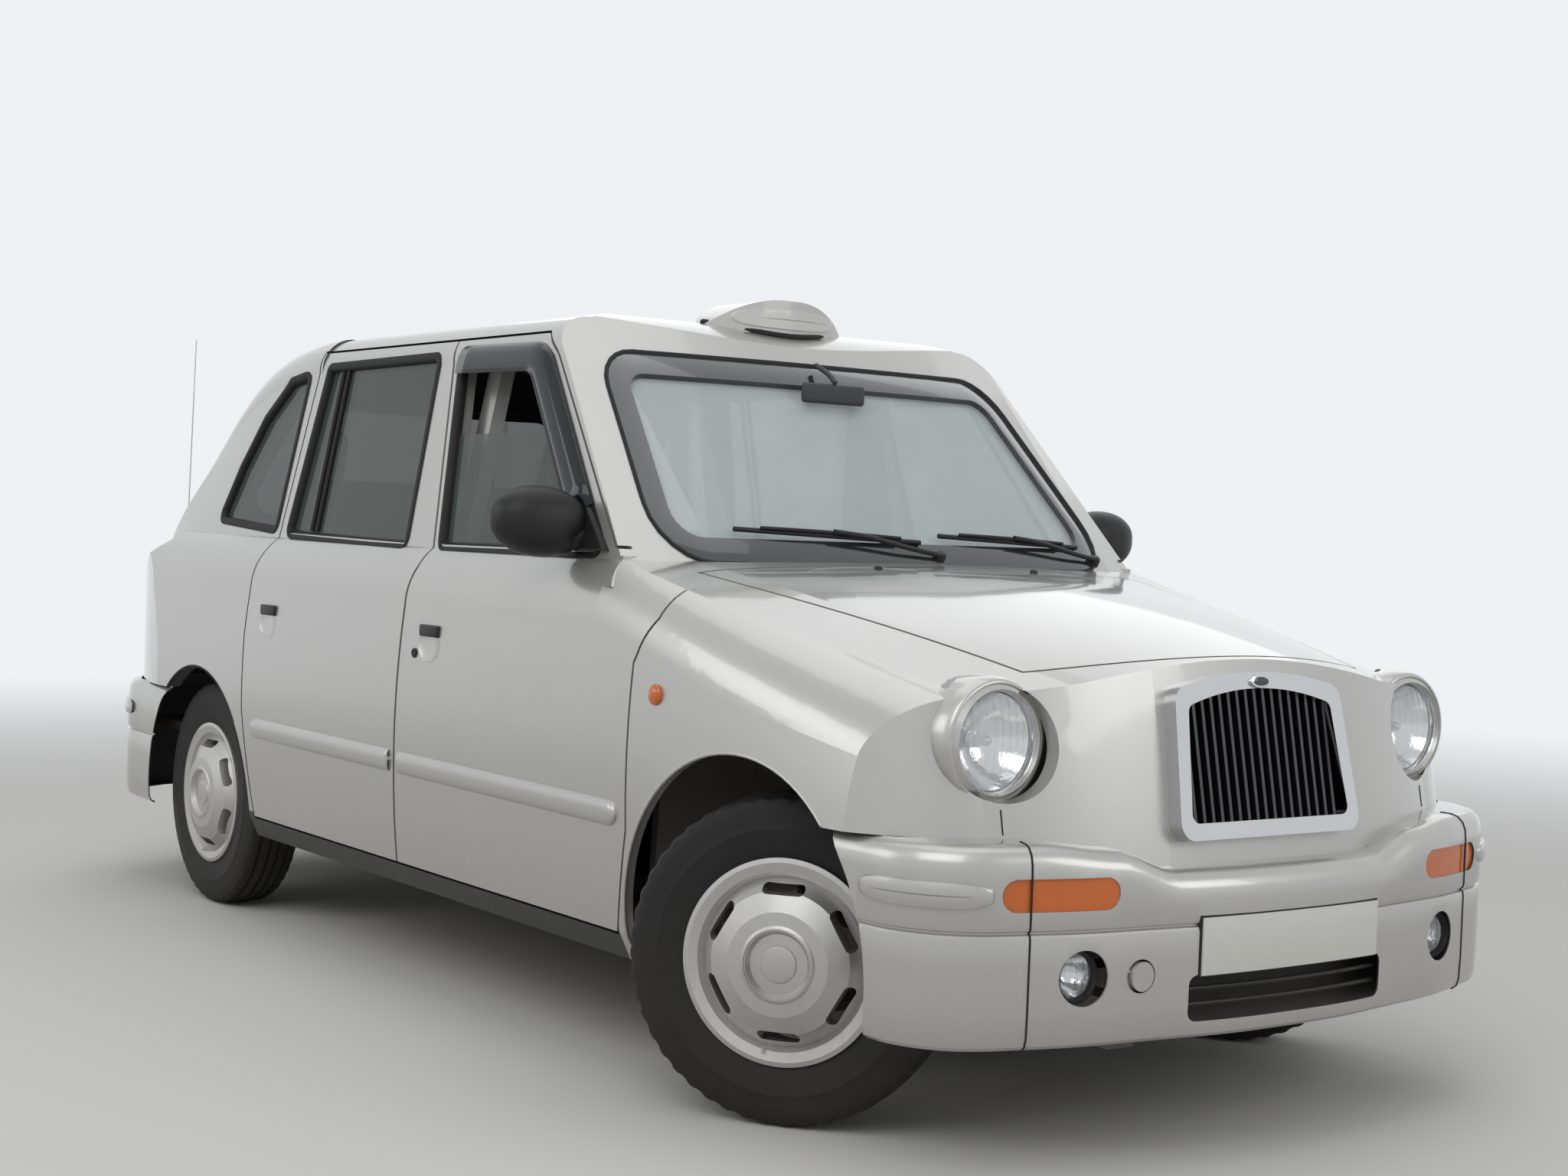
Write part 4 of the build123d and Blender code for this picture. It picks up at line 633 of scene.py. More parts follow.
def bent_slab(name, half, low, high, front, deep, material):
    """An upright slab across the nose, a little bowed; front gives its face's x in the middle."""
    rings = []
    for k in range(SLAB_STEPS + 1):
        y = half * (2 * k / SLAB_STEPS - 1)
        x = front - BOW * (y / BOW_AT) ** 2
        corner = 0.010 if k in (0, SLAB_STEPS) else 0.004
        rings.append([
            (x - deep, y, low + corner), (x - deep + 0.001, y, low), (x - 0.001, y, low), (x, y, low + corner),
            (x, y, high - corner), (x - 0.001, y, high), (x - deep + 0.001, y, high), (x - deep, y, high - corner),
        ])
    slab = woven(name, rings, loop=True, ends=True)
    outward(slab)
    return dress(slab, material, angle=30.0)


plate_white = finish("plate_white", (0.70, 0.70, 0.66), 0.32, dirt=0.25, mottle=0.05, grain=(300.0, 0.05),
                     slot="silver_paint", Coat_Weight=0.5)
plate_yellow = finish("plate_yellow", (0.72, 0.50, 0.05), 0.32, dirt=0.25, mottle=0.05, grain=(300.0, 0.05),
                      slot="silver_paint", Coat_Weight=0.5)
bent_slab("front_plate_holder", 0.2630, 0.388, 0.508, 2.2828, 0.022, moulding)
bent_slab("front_plate", 0.2600, 0.391, 0.505, 2.2868, 0.0045, plate_white)
patch("rear_plate", ["boot_lid"], (-2.3, 0.0, 0.80), (0, 1, 0), (0, 0, 1), (1, 0, 0), (0.53, 0.118), 0.010, 0.14,
      plate_yellow, "boot_lid", cells=30, dome=0.0)

# Boot pull: a black moulded bar above the plate, over the lock.
# It is a domed pad clipped on the lid, and it lifts with it.
patch("boot_pull", ["boot_lid"], (-2.3, 0.0, 0.893), (0, 1, 0), (0, 0, 1), (1, 0, 0), (0.330, 0.030), 0.012, 0.35,
      moulding, "boot_lid", cells=24, dome=0.2)

# Rub strips: body-coloured extrusions stuck along the doors, domed across their width.
# An end is rounded where no joint follows, and cut nearly square at the gap between the doors.
STRIP_MIDDLE, STRIP_HALF, STRIP_RISE, STRIP_CAST = 0.590, 0.030, 0.0135, 0.036
FRONT_STRIP, REAR_STRIP, STRIP_STEPS = (0.026, 1.106), (-0.932, -0.026), 72


def rub_strip(name, door, s, rear, front, rounded_rear, rounded_front):
    rings = []
    for k in range(STRIP_STEPS + 1):
        x = rear + (front - rear) * (0.5 - 0.5 * math.cos(math.pi * k / STRIP_STEPS))
        half, swell = STRIP_HALF, 1.0
        for gap, rounded in ((x - rear, rounded_rear), (front - x, rounded_front)):
            if not rounded:
                swell = min(swell, 0.55 + 0.45 * min(gap / 0.006, 1.0))
                continue
            if gap < STRIP_HALF:
                half = min(half, max(0.002, math.sqrt(max(0.0, STRIP_HALF ** 2 - (STRIP_HALF - gap) ** 2))))
            swell = min(swell, math.sqrt(max(0.0, 1 - (1 - min(gap / 0.016, 1.0)) ** 2)))
        low = on_flank([door], s, x, STRIP_MIDDLE - STRIP_CAST)
        high = on_flank([door], s, x, STRIP_MIDDLE + STRIP_CAST)
        if not low or not high:
            continue
        ring = []
        for v in (-1.0, -0.97, -0.88, -0.70, -0.35, 0.0, 0.35, 0.70, 0.88, 0.97, 1.0):
            z = STRIP_MIDDLE + v * half
            y = low.y + (high.y - low.y) * (z - STRIP_MIDDLE + STRIP_CAST) / (2 * STRIP_CAST)
            ring.append((x, y + s * (STRIP_RISE * (1 - abs(v) ** 5) * swell - 0.0012), z))
        ring += [(x, ring[-1][1] - s * 0.001, STRIP_MIDDLE + half), (x, ring[0][1] - s * 0.001, STRIP_MIDDLE - half)]
        rings.append(ring)
    strip = woven(name, rings, loop=True, ends=True)
    outward(strip)
    return dress(strip, shell_paint, door, 40.0)


for side, s in SIDES:
    rub_strip(f"front_{side}_rub_strip", f"front_{side}_door", s, *FRONT_STRIP, False, True)
    rub_strip(f"rear_{side}_rub_strip", f"rear_{side}_door", s, *REAR_STRIP, True, False)

# Towing eye cover: a round painted plug clipped in the bumper's face.
# It sits just below the face, so its gap shows as a ring.
tow_plug = rod((2.246, TOW_Y, TOW_Z), (1, 0, 0), 0.029, 0.018)
outward(tow_plug)
dress(tow_plug, shell_paint)

# Headlamps: a round chrome reflector with its bulb behind a fluted pressed-glass lens, in a body-colour pod.
# The pod swells out of the wing and sinks back into its top, and the lens shows upright flutes.
LAMP_SEAT = (2.035, 0.616, 0.837)
POD_FROM, POD_RUN, POD_ABOVE, POD_SUNK = 2.020, 0.12, 0.870, 0.003
LAMP_LENS = [(-0.004, 0.097), (0.004, 0.097), (0.012, 0.090), (0.020, 0.072), (0.026, 0.045), (0.028, 0.018),
             (0.0285, 0.0)]
LAMP_BOWL = [(-0.066, 0.0), (-0.064, 0.025), (-0.050, 0.055), (-0.026, 0.080), (-0.002, 0.096)]
LAMP_BULB = [(-0.064, 0.016), (-0.046, 0.016), (-0.044, 0.012), (-0.016, 0.011), (-0.008, 0.006), (-0.006, 0.0)]
LAMP_TRIM = [(0.002, 0.0965), (0.012, 0.0985), (0.017, 0.103), (0.0165, 0.109), (0.010, 0.113), (0.002, 0.112),
             (0.002, 0.0965)]
LAMP_POD = [
    (0.008, 0.1125), (0.0155, 0.116), (0.0155, 0.120), (0.009, 0.1245), (-0.010, 0.1285), (-0.025, 0.1290),
    (-0.040, 0.1290), (-0.055, 0.1285), (-0.070, 0.1275), (-0.085, 0.1260), (-0.100, 0.1240), (-0.115, 0.1210),
    (-0.130, 0.1175), (-0.150, 0.111), (-0.170, 0.103), (-0.190, 0.092), (-0.210, 0.078), (-0.228, 0.045),
    (-0.232, 0.0),
]


def turned(name, centre, way, profile, steps=64):
    """A shape turned about a line through centre: profile rows are (along the line, radius)."""
    centre, way = Vector(centre), Vector(way).normalized()
    side = way.orthogonal().normalized()
    mesh = bpy.data.meshes.new(name)
    edges = [(k, k + 1) for k in range(len(profile) - 1)]
    mesh.from_pydata([centre + way * a + side * r for a, r in profile], edges, [])
    piece = placed(name, mesh)
    bpy.ops.object.mode_set(mode="EDIT")
    bpy.ops.mesh.select_all(action="SELECT")
    bpy.ops.mesh.spin(steps=steps, angle=2 * math.pi, center=centre, axis=way)
    bpy.ops.object.mode_set(mode="OBJECT")
    outward(piece)
    return piece


lens_glass = clear_finish("lens_glass", (0.80, 0.83, 0.85), 0.34, 0.03)
lens_tree = lens_glass.node_tree
flute = new_node(lens_tree, "TexWave", bands_direction="Y")
for label, value in (
    ("Vector", object_place(lens_tree)), ("Scale", 16.0), ("Distortion", 0.6), ("Detail Scale", 0.4),
):
    feed(lens_tree, flute.inputs[label], value)
fluted = bump(lens_tree, flute.outputs["Fac"], 0.004, 0.9)
link(lens_tree, fluted.outputs["Normal"], lens_tree.nodes["Principled BSDF"].inputs["Normal"])
reflector = finish("reflector", (0.86, 0.87, 0.88), 0.08, metallic=1.0, dirt=0.05, mottle=0.05,
                   grain=(120.0, 0.5), slot="grille_chrome")
bulb_glass = finish("bulb_glass", (0.75, 0.78, 0.80), 0.1, metallic=0.3, dirt=0.0, mottle=0.1,
                    grain=(200.0, 0.2), slot="lamp_glass", Coat_Weight=1.0)
for side, s in SIDES:
    seat = (LAMP_SEAT[0], s * LAMP_SEAT[1], LAMP_SEAT[2])
    lens = turned(f"{side}_headlamp_lens", seat, (1, 0, 0), LAMP_LENS)
    dress(lens, lens_glass, angle=60.0)
    bowl = turned(f"{side}_headlamp_bowl", seat, (1, 0, 0), LAMP_BOWL)
    thicken(bowl, 0.0015)
    dress(bowl, reflector, angle=60.0)
    dress(turned(f"{side}_headlamp_bulb", seat, (1, 0, 0), LAMP_BULB, 24), bulb_glass, angle=60.0)
    dress(turned(f"{side}_headlamp_trim", seat, (1, 0, 0), LAMP_TRIM), chrome, angle=60.0)
    pod = turned(f"{side}_headlamp_socket", seat, (1, 0, 0), LAMP_POD, 96)
    for point in pod.data.vertices:
        behind = POD_FROM - point.co.x
        if behind > 0 and point.co.z > POD_ABOVE:
            top = touch(["front_wings", "bonnet"], (point.co.x, point.co.y, 1.3), (0, 0, -1))
            if top and point.co.z > top.z:
                stay = max(0.0, 1 - behind / POD_RUN)
                stay = stay * stay * (3 - 2 * stay)
                point.co.z = top.z + (point.co.z - top.z) * stay - POD_SUNK * (1 - stay)
    thicken(pod, 0.003)
    dress(pod, shell_paint, angle=60.0)
    if side == "left":
        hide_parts("headlamps")

# Grille boss: a small plain oval of chrome on the frame's top rail, with a black centre that is a painted dark
# reflection of the chrome's shaded side.
# Both are pads pressed on the rail, square to its lean.
for name, size, rise, dome, material in (
    ("grille_boss", (0.056, 0.029), 0.006, 0.3, chrome),
    # The black centre pad is a painted dark reflection that stands in for the chrome's shaded side.
    ("grille_boss_painted_dark_reflection", (0.043, 0.019), 0.0092, 0.1, slat_black),
):
    patch(name, ["grille_surround"], (2.17, 0.0, 0.9585), (0, 1, 0), (-0.19, 0, 0.98), (-1, 0, -0.05),
          size, rise, 1.0, material, cells=12, dome=dome)

# The wing's front joint: a thin dark line that drops from each headlamp to the bumper.
# It is a fine bead laid down the metal between the wing and the nose.
for side, s in SIDES:
    drop = [touch(["front_wings", "cowl_and_pillars"], (2.7, s * 0.628, 0.662 + 0.012 * k), (-1, 0, 0))
            for k in range(5)]
    bead(f"{side}_wing_joint", [spot for spot in drop if spot], 0.0016, seal_rubber)

# Fog lamps: small round lamps sunk in the bumper, each a chrome bowl behind clear glass.
# A black ring holds them in their openings.
FOG_RING = [(-0.012, 0.0535), (0.012, 0.0535), (0.019, 0.0510), (0.020, 0.0480), (0.012, 0.0445), (0.000, 0.0430),
            (-0.012, 0.0430), (-0.012, 0.0535)]
FOG_BOWL = [(-0.036, 0.0), (-0.033, 0.016), (-0.020, 0.032), (0.002, 0.0435)]
FOG_GLASS = [(0.001, 0.0435), (0.007, 0.0425), (0.013, 0.034), (0.017, 0.018), (0.018, 0.0)]
for side, s in SIDES:
    seat = (2.193, s * FOG_Y, FOG_Z)
    dress(turned(f"{side}_fog_ring", seat, (1, 0, 0), FOG_RING), moulding, angle=40.0)
    bowl = turned(f"{side}_fog_bowl", seat, (1, 0, 0), FOG_BOWL, 48)
    thicken(bowl, 0.001)
    dress(bowl, reflector, angle=60.0)
    glass = dress(turned(f"{side}_fog_glass", seat, (1, 0, 0), FOG_GLASS, 48), lens_glass, angle=60.0)
    if side == "left":
        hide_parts("fog_lamps")

# Window seals: black extruded rubber round every pane, and the grey-black border fired on the windscreen.
# Each is one band that follows the rounded outline of its opening, raised a few millimetres from panel and glass.
ARC, RUN = 6, 8
FRAME_Y, FRAME_LEAN, FRAME_FOOT = 0.806, 0.1837, 1.15
LIFT_OUT, LIFT_UP = 0.98, 0.18
SCREEN_X, SCREEN_Z, SCREEN_RAKE, SCREEN_RADIUS = 1.1066, 1.09, 0.951, 4.1133
SCREEN_OUT, SCREEN_UP, TAIL_OUT, TAIL_UP = 0.72, 0.69, 0.8, 0.5
FRONT_PANE = [(0.062, 1.160), (0.872, 1.166), (0.455, 1.612), (0.392, 1.654), (-0.030, 1.664)]
REAR_PANE = [(-0.914, 1.166), (-0.140, 1.158), (-0.158, 1.662), (-0.850, 1.656)]
QUARTER_PANE = [(-1.455, 1.198), (-1.010, 1.174), (-0.985, 1.640), (-1.120, 1.622), (-1.270, 1.510), (-1.380, 1.360)]
SCREEN_PANE = [(0.668, 1.192), (0.590, 1.618), (-0.590, 1.618), (-0.668, 1.192)]
TAIL_PANE = [(0.560, 1.210), (0.490, 1.590), (-0.490, 1.590), (-0.560, 1.210)]
# Rows of a band: distance out from the outline, and height over the surface.
SEAL_ROWS = [(0.015, -0.001), (0.014, 0.003), (0.006, 0.0045), (-0.004, 0.003), (-0.010, -0.004), (-0.011, -0.018)]
BORDER_ROWS = [(0.040, 0.001), (0.038, 0.0025), (-0.014, 0.0025), (-0.016, -0.016)]
SCREEN_SEAL_ROWS = [(0.048, -0.002), (0.048, 0.004), (0.044, 0.006), (0.040, 0.004), (0.038, 0.001)]


def outline_ring(corners, rounding, grow):
    """Parallel outline of a convex rounded shape, with its outward directions, in the plane it is drawn in."""
    corners = [Vector(c) for c in corners]
    middle = sum(corners, Vector((0, 0))) / len(corners)
    normals = []
    for a, b in zip(corners, corners[1:] + corners[:1]):
        n = Vector((b.y - a.y, a.x - b.x)).normalized()
        normals.append(n if n.dot((a + b) / 2 - middle) > 0 else -n)
    bends = []
    for i, corner in enumerate(corners):
        before, after = normals[i - 1], normals[i]
        centre = corner - (before + after) * rounding / (1 + before.dot(after))
        for k in range(ARC + 1):
            n = before.copy()
            n.rotate(Matrix.Rotation(-before.angle_signed(after) * k / ARC, 2))
            bends.append((centre + n * (rounding + grow), n))
    ring = []
    for i, (spot, n) in enumerate(bends):
        ring.append((spot, n))
        if i % (ARC + 1) == ARC:
            following = bends[(i + 1) % len(bends)][0]
            ring += [(spot.lerp(following, k / RUN), n) for k in range(1, RUN)]
    return ring


def band(name, corners, rounding, rows, surface, material, body="body", part=None):
    """Rows laid round an outline on a surface; part keeps only that stretch of it."""
    loops = []
    for grow, lift in rows:
        points = [surface(spot, n, grow, lift) for spot, n in outline_ring(corners, rounding, grow)]
        loops.append(points[slice(*part)] if part else points)
    piece = woven(name, loops, loop=part is None)
    outward(piece)
    return dress(piece, material, body, 50.0)


def frame_lean(z):
    return FRAME_Y - FRAME_LEAN * (z - FRAME_FOOT)


def on_side(names, s, near=0.010, far=0.022):
    """Surface of a body side: cast on the metal just outside the opening and carried inwards from there."""
    def surface(point, normal, grow, lift):
        base = point - normal * grow
        found = [on_flank(names, s, *(base + normal * reach)) for reach in (near, far)]
        met = [spot.y for spot in found if spot]
        if len(met) < 2 or abs(met[0] - met[1]) > 0.02:
            y = met[0] if met else s * frame_lean(base.y)
        else:
            y = met[0] + (met[1] - met[0]) * (grow - near) / (far - near)
        return Vector((point.x, y + s * lift * LIFT_OUT, point.y + lift * LIFT_UP))
    return surface


def on_lean(s):
    """The flat lean of the window frames, for what bridges their corners."""
    return lambda point, normal, grow, lift: Vector((
        point.x, s * (frame_lean(point.y) + lift * LIFT_OUT), point.y + lift * LIFT_UP))


def on_screen(point, normal, grow, lift):
    """The windscreen, raked back and bowed across the cab."""
    y, z = point
    bow = SCREEN_RADIUS - math.sqrt(SCREEN_RADIUS ** 2 - y * y)
    return Vector((SCREEN_X - SCREEN_RAKE * (z - SCREEN_Z) - bow + lift * SCREEN_OUT, y, z + lift * SCREEN_UP))


def on_tail(point, normal, grow, lift, near=0.012, far=0.026):
    """The tail round the rear window, cast from behind."""
    base, xs = point - normal * grow, []
    for reach in (near, far):
        spot = base + normal * reach
        found = touch(["rear_body", "roof_panel"], (-3.0, spot.x, spot.y), (1, 0, 0))
        xs.append(found.x if found else -1.7)
    x = xs[0]
    if abs(xs[0] - xs[1]) < 0.04:
        x += (xs[1] - xs[0]) * (grow - near) / (far - near)
    return Vector((x - lift * TAIL_OUT, point.x, point.y + lift * TAIL_UP))


for side, s in SIDES:
    front_door, rear_door = f"front_{side}_door", f"rear_{side}_door"
    for name, pane, rounding, names, body in (
        (f"front_{side}_window_seal", FRONT_PANE, 0.018, [front_door], front_door),
        (f"rear_{side}_window_seal", REAR_PANE, 0.018, [rear_door], rear_door),
        (f"quarter_{side}_seal", QUARTER_PANE, 0.022, ["rear_body", "roof_panel", "cowl_and_pillars"], "body"),
    ):
        band(name, pane, rounding, SEAL_ROWS, on_side(names, s), seal_rubber, body)
    for x in (-0.770, -0.735):
        low, high = (on_flank([f"rear_{side}_glass"], s, x + slant, z) for slant, z in ((0, 1.175), (0.004, 1.645)))
        proud = Vector((0, s * 0.004, 0))
        bead(f"rear_{side}_pane_bar_{int(-x * 1000)}", [low + proud, high + proud], 0.008, seal_rubber, rear_door)
border = finish("screen_border", (0.030, 0.031, 0.031), 0.14, dirt=0.05, mottle=0.1, grain=(500.0, 0.03),
                slot="black_plastic", Coat_Weight=1.0, Coat_Roughness=0.03)
band("windscreen_border", SCREEN_PANE, 0.070, BORDER_ROWS, on_screen, border)
band("windscreen_seal", SCREEN_PANE, 0.070, SCREEN_SEAL_ROWS, on_screen, seal_rubber)
band("rear_window_seal", TAIL_PANE, 0.080, SEAL_ROWS, on_tail, seal_rubber)

# Wind deflectors: smoked acrylic brows stuck along the top and front edges of the front door windows.
# Each is the front and top stretch of one band round the window, flared outwards and given its thickness.
FRONT_AND_TOP = (22, 43)
BROW = [(-0.050, 0.940), (1.072, 0.942), (0.424, 1.668), (-0.150, 1.677)]
BROW_ROWS = [(0.012, 0.002), (0.008, 0.008), (-0.004, 0.018), (-0.020, 0.023), (-0.045, 0.025), (-0.068, 0.024)]
smoke = finish("smoked_acrylic", (0.004, 0.005, 0.008), 0.12, dirt=0.02, mottle=0.2, grain=(400.0, 0.02),
               slot="tinted_glass", Coat_Weight=0.4, Coat_Roughness=0.02, Specular_IOR_Level=0.3, Alpha=0.92)
for side, s in SIDES:
    brow = band(f"{side}_wind_deflector", BROW, 0.125, BROW_ROWS, on_lean(s), smoke, f"front_{side}_door",
                FRONT_AND_TOP)
    thicken(brow, 0.003)

# Door mirrors: big rounded black housings on sail plates in the front corners of the door windows.
# The shell is shaped from a ball, flattened behind for the glass, and its neck runs into the sail.
MIRROR_X, MIRROR_Y, MIRROR_Z = 0.735, 0.900, 1.236
MIRROR_HALF, MIRROR_TALL, MIRROR_AHEAD, MIRROR_BEHIND = 0.117, 0.084, 0.078, 0.030
MIRROR_BLUNT = (0.85, 0.75, 0.80)
MIRROR_PANE = (0.098, 0.066)
SAIL = [(0.895, 1.168), (0.735, 1.164), (0.700, 1.190), (0.690, 1.345), (0.760, 1.290)]
MIRROR_DISC = [(0.0, 1.0), (0.001, 1.0), (0.001, 0.9), (0.001, 0.0)]
SAIL_MIDDLE = Vector((0.76, 1.22))
mirror_glass = finish("mirror_glass", (0.72, 0.74, 0.75), 0.03, metallic=1.0, dirt=0.1, mottle=0.02,
                      grain=(100.0, 0.01), slot="grille_chrome")


def squared(value, power):
    return math.copysign(abs(value) ** power, value)


for side, s in SIDES:
    door = f"front_{side}_door"
    bpy.ops.mesh.primitive_uv_sphere_add(segments=48, ring_count=24, radius=1.0, location=(0, 0, 0))
    housing = bpy.context.object
    for vertex in housing.data.vertices:
        x, y, z = (squared(value, power) for value, power in zip(vertex.co, MIRROR_BLUNT))
        outer = (y * s + 1) / 2
        tall = MIRROR_TALL * (0.80 + 0.20 * math.sin(math.pi * min(1.0, outer * 0.9 + 0.1)))
        deep = MIRROR_AHEAD if x > 0 else MIRROR_BEHIND
        vertex.co = (MIRROR_X + x * deep - 0.02 * outer, s * (MIRROR_Y + MIRROR_HALF * y * s),
                     MIRROR_Z + z * tall - 0.010 * (1 - outer))
    dress(housing, moulding, door, 60.0, name=f"{side}_mirror_housing")
    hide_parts(f"{side}_mirror")
    pane = turned(f"{side}_mirror_pane", (0, 0, 0), (1, 0, 0), MIRROR_DISC, 48)
    for vertex in pane.data.vertices:
        x, y, z = vertex.co
        vertex.co = (0.700 - x - 0.010 * (y * s + 1) / 2, s * (MIRROR_Y + 0.002) + MIRROR_PANE[0] * squared(y, 0.75),
                     MIRROR_Z + MIRROR_PANE[1] * squared(z, 0.8))
    outward(pane)
    dress(pane, mirror_glass, door, 40.0)
    rows = []
    for lift, shrink in ((-0.010, 0.0), (0.010, 0.0), (0.016, 0.006)):
        corners = [Vector(p) + (SAIL_MIDDLE - Vector(p)).normalized() * shrink for p in SAIL]
        rows.append([(p.x, s * (frame_lean(p.y) + lift), p.y) for p in corners])
    sail = woven(f"{side}_mirror_sail", rows, loop=True, ends=True)
    outward(sail)
    bevel(sail, 0.004, 3)
    dress(sail, moulding, door, 40.0)
    neck = [(0.770, s * 0.800, 1.196), (0.768, s * 0.835, 1.196), (0.752, s * 0.870, 1.206)]
    bead(f"{side}_mirror_neck", neck, 0.030, moulding, door, 4)

# Door furniture: black pull handles over the pressed scoops, round lock barrels and round amber repeaters.
# Handles and locks are clipped on the doors, the repeaters on the wings, and the wheel arches have rolled lips.
HANDLE_HALF, HANDLE_FOOT, HANDLE_TOP = 0.053, 0.926, 0.956
ARCH_STEPS, ARCH_FROM, ARCH_SWEEP, ARCH_WIDE = 48, -12, 204, 0.78
LOCK = [(-0.004, 0.0125), (0.003, 0.0125), (0.005, 0.0105), (0.003, 0.009), (0.003, 0.0)]
REPEATER = [(-0.004, 0.023), (0.004, 0.023), (0.008, 0.021), (0.012, 0.014), (0.0135, 0.006), (0.0138, 0.0)]
for side, s in SIDES:
    for end, x in HANDLE_X.items():
        body = f"{end}_{side}_door"
        y = on_flank([body], s, x, 0.938).y
        handle = block((x - HANDLE_HALF, y - 0.012, HANDLE_FOOT), (x + HANDLE_HALF, y + 0.014, HANDLE_TOP), 0.006)
        for vertex in handle.data.vertices:
            out = (vertex.co.y - y) * s
            if out > 0:
                vertex.co.x = x + (vertex.co.x - x) * (1 - out * 6)
                vertex.co.y -= s * out * 0.35 * abs(vertex.co.x - x) / HANDLE_HALF
        dress(handle, moulding, body, 40.0, name=f"{end}_{side}_handle")
    lock_spot = on_flank([f"front_{side}_door"], s, 0.100, 0.880)
    dress(turned(f"front_{side}_lock", lock_spot, (0, s, 0), LOCK, 32), moulding, f"front_{side}_door", 30.0)
    glow_spot = on_flank(["front_wings"], s, 1.245, 0.867)
    dress(turned(f"{side}_repeater", glow_spot, (0, s, 0), REPEATER, 40), amber, angle=50.0)
    for end, radius, panel, material in (
        ("front", 0.4245, "front_wings", shell_paint), ("rear", 0.3945, "rear_body", seal_rubber),
    ):
        lip, centre = [], ARCH_X[end]
        for k in range(ARCH_STEPS + 1):
            a = math.radians(ARCH_FROM + ARCH_SWEEP * k / ARCH_STEPS)
            x, z = (radius + 0.004) * math.cos(a), (radius + 0.004) * math.sin(a)
            found = on_flank([panel], s, centre + x, AXLE_HEIGHT + z)
            if found and abs(found.y) > ARCH_WIDE:
                lip.append((centre + radius * math.cos(a), found.y - s * 0.003, AXLE_HEIGHT + radius * math.sin(a)))
        bead(f"{end}_{side}_arch_lip", lip, 0.0045, material)

# Screen wipers: black painted arms on splined posts, each with a bridged rubber blade, parked low.
# The blades lie along the glass, and two jets in the bonnet wash it.
POST_Z, BLADE_Z, BLADE_RISE = 1.172, 1.205, 0.018
WIPER_POST = [(-0.012, 0.014), (0.014, 0.014), (0.020, 0.010), (0.022, 0.0)]
JET = [(-0.003, 0.010), (0.004, 0.010), (0.008, 0.007), (0.010, 0.0)]


def over_glass(y, z, lift):
    return on_screen((y, z), None, 0.0, lift)


for name, post, inner, outer in (("right", 0.075, 0.03, -0.500), ("left", 0.650, 0.600, 0.105)):
    along = [(inner + (outer - inner) * k / 8, BLADE_Z + BLADE_RISE * k / 8) for k in range(9)]
    reach = (inner + outer) / 2 - post
    bead(f"{name}_wiper_blade", [over_glass(y, z, 0.010) for y, z in along], 0.0065, moulding, steps=2)
    bridge = [over_glass(y, z, 0.019 + 0.004 * math.sin(math.pi * k / 8)) for k, (y, z) in enumerate(along)]
    bead(f"{name}_wiper_bridge", bridge[1:8], 0.0045, moulding, steps=2)
    arm = [over_glass(post + reach * share, z, lift) for share, z, lift in (
        (0.0, POST_Z, 0.014), (0.35, 1.184, 0.022), (0.7, 1.202, 0.028), (1.0, 1.214, 0.026))]
    bead(f"{name}_wiper_arm", arm, 0.0065, moulding, steps=6)
    cap = turned(f"{name}_wiper_post", over_glass(post, POST_Z, 0.0), (0.5, 0, 0.86), WIPER_POST, 24)
    dress(cap, moulding, angle=40.0)
for side, s in SIDES:
    spot = touch(["bonnet"], (1.19, s * 0.245, 2.0), (0, 0, -1))
    dress(turned(f"washer_jet_{side}", spot, (0.1, 0, 1), JET, 20), moulding, "bonnet", 40.0)

# Roof sign: the pale lens-shaped pod sits on a black rubber foot, with a plain oval window under its hood.
# The foot is a bead round the pod's own outline, longer behind than ahead, and follows the roof.
FOOT_X, FOOT_HALF, FOOT_AHEAD, FOOT_BEHIND, FOOT_STEPS = 0.372, 0.217, 0.0924, -0.1364, 40
foot = []
for k in range(FOOT_STEPS):
    a = 2 * math.pi * k / FOOT_STEPS
    y = FOOT_HALF * squared(math.cos(a), 0.9)
    bulge = max(0.0, 1 - (y / FOOT_HALF) ** 2)
    x = FOOT_X + (FOOT_AHEAD if math.sin(a) >= 0 else FOOT_BEHIND) * bulge
    down = touch(["roof_panel", "cowl_and_pillars"], (x, y, 2.5), (0, 0, -1))
    foot.append((x, y, (down.z if down else 1.74) + 0.003))
bead("sign_foot", foot, 0.009, seal_rubber, loop=True)
sign_face = finish("sign_window", (0.66, 0.65, 0.62), 0.22, dirt=0.2, mottle=0.05, grain=(500.0, 0.05),
                   slot="sign_plastic", Coat_Weight=0.8)
patch("sign_window", ["roof_sign"], (1.2, 0.0, 1.788), (0, 1, 0), (-0.1, 0, 1), (-1, 0, 0), (0.330, 0.052), 0.004,
      0.8, sign_face, cells=24, dome=0.0)

# Whip aerial on the right rear shoulder: a thin steel rod in a rubber grommet.
# It is screwed through the panel and leans a little forwards.
AERIAL_TIP = Vector((-1.950, -0.700, 1.790))
root = touch(["rear_body"], (-1.985, -0.700, 2.0), (0, 0, -1))
bead("aerial_whip", [root, root.lerp(AERIAL_TIP, 0.5), AERIAL_TIP], 0.0022, chrome)
grommet = turned("aerial_grommet", root, (0, 0, 1),
                 [(-0.004, 0.017), (0.004, 0.015), (0.016, 0.007), (0.030, 0.004), (0.030, 0.0)], 24)
dress(grommet, seal_rubber, angle=40.0)

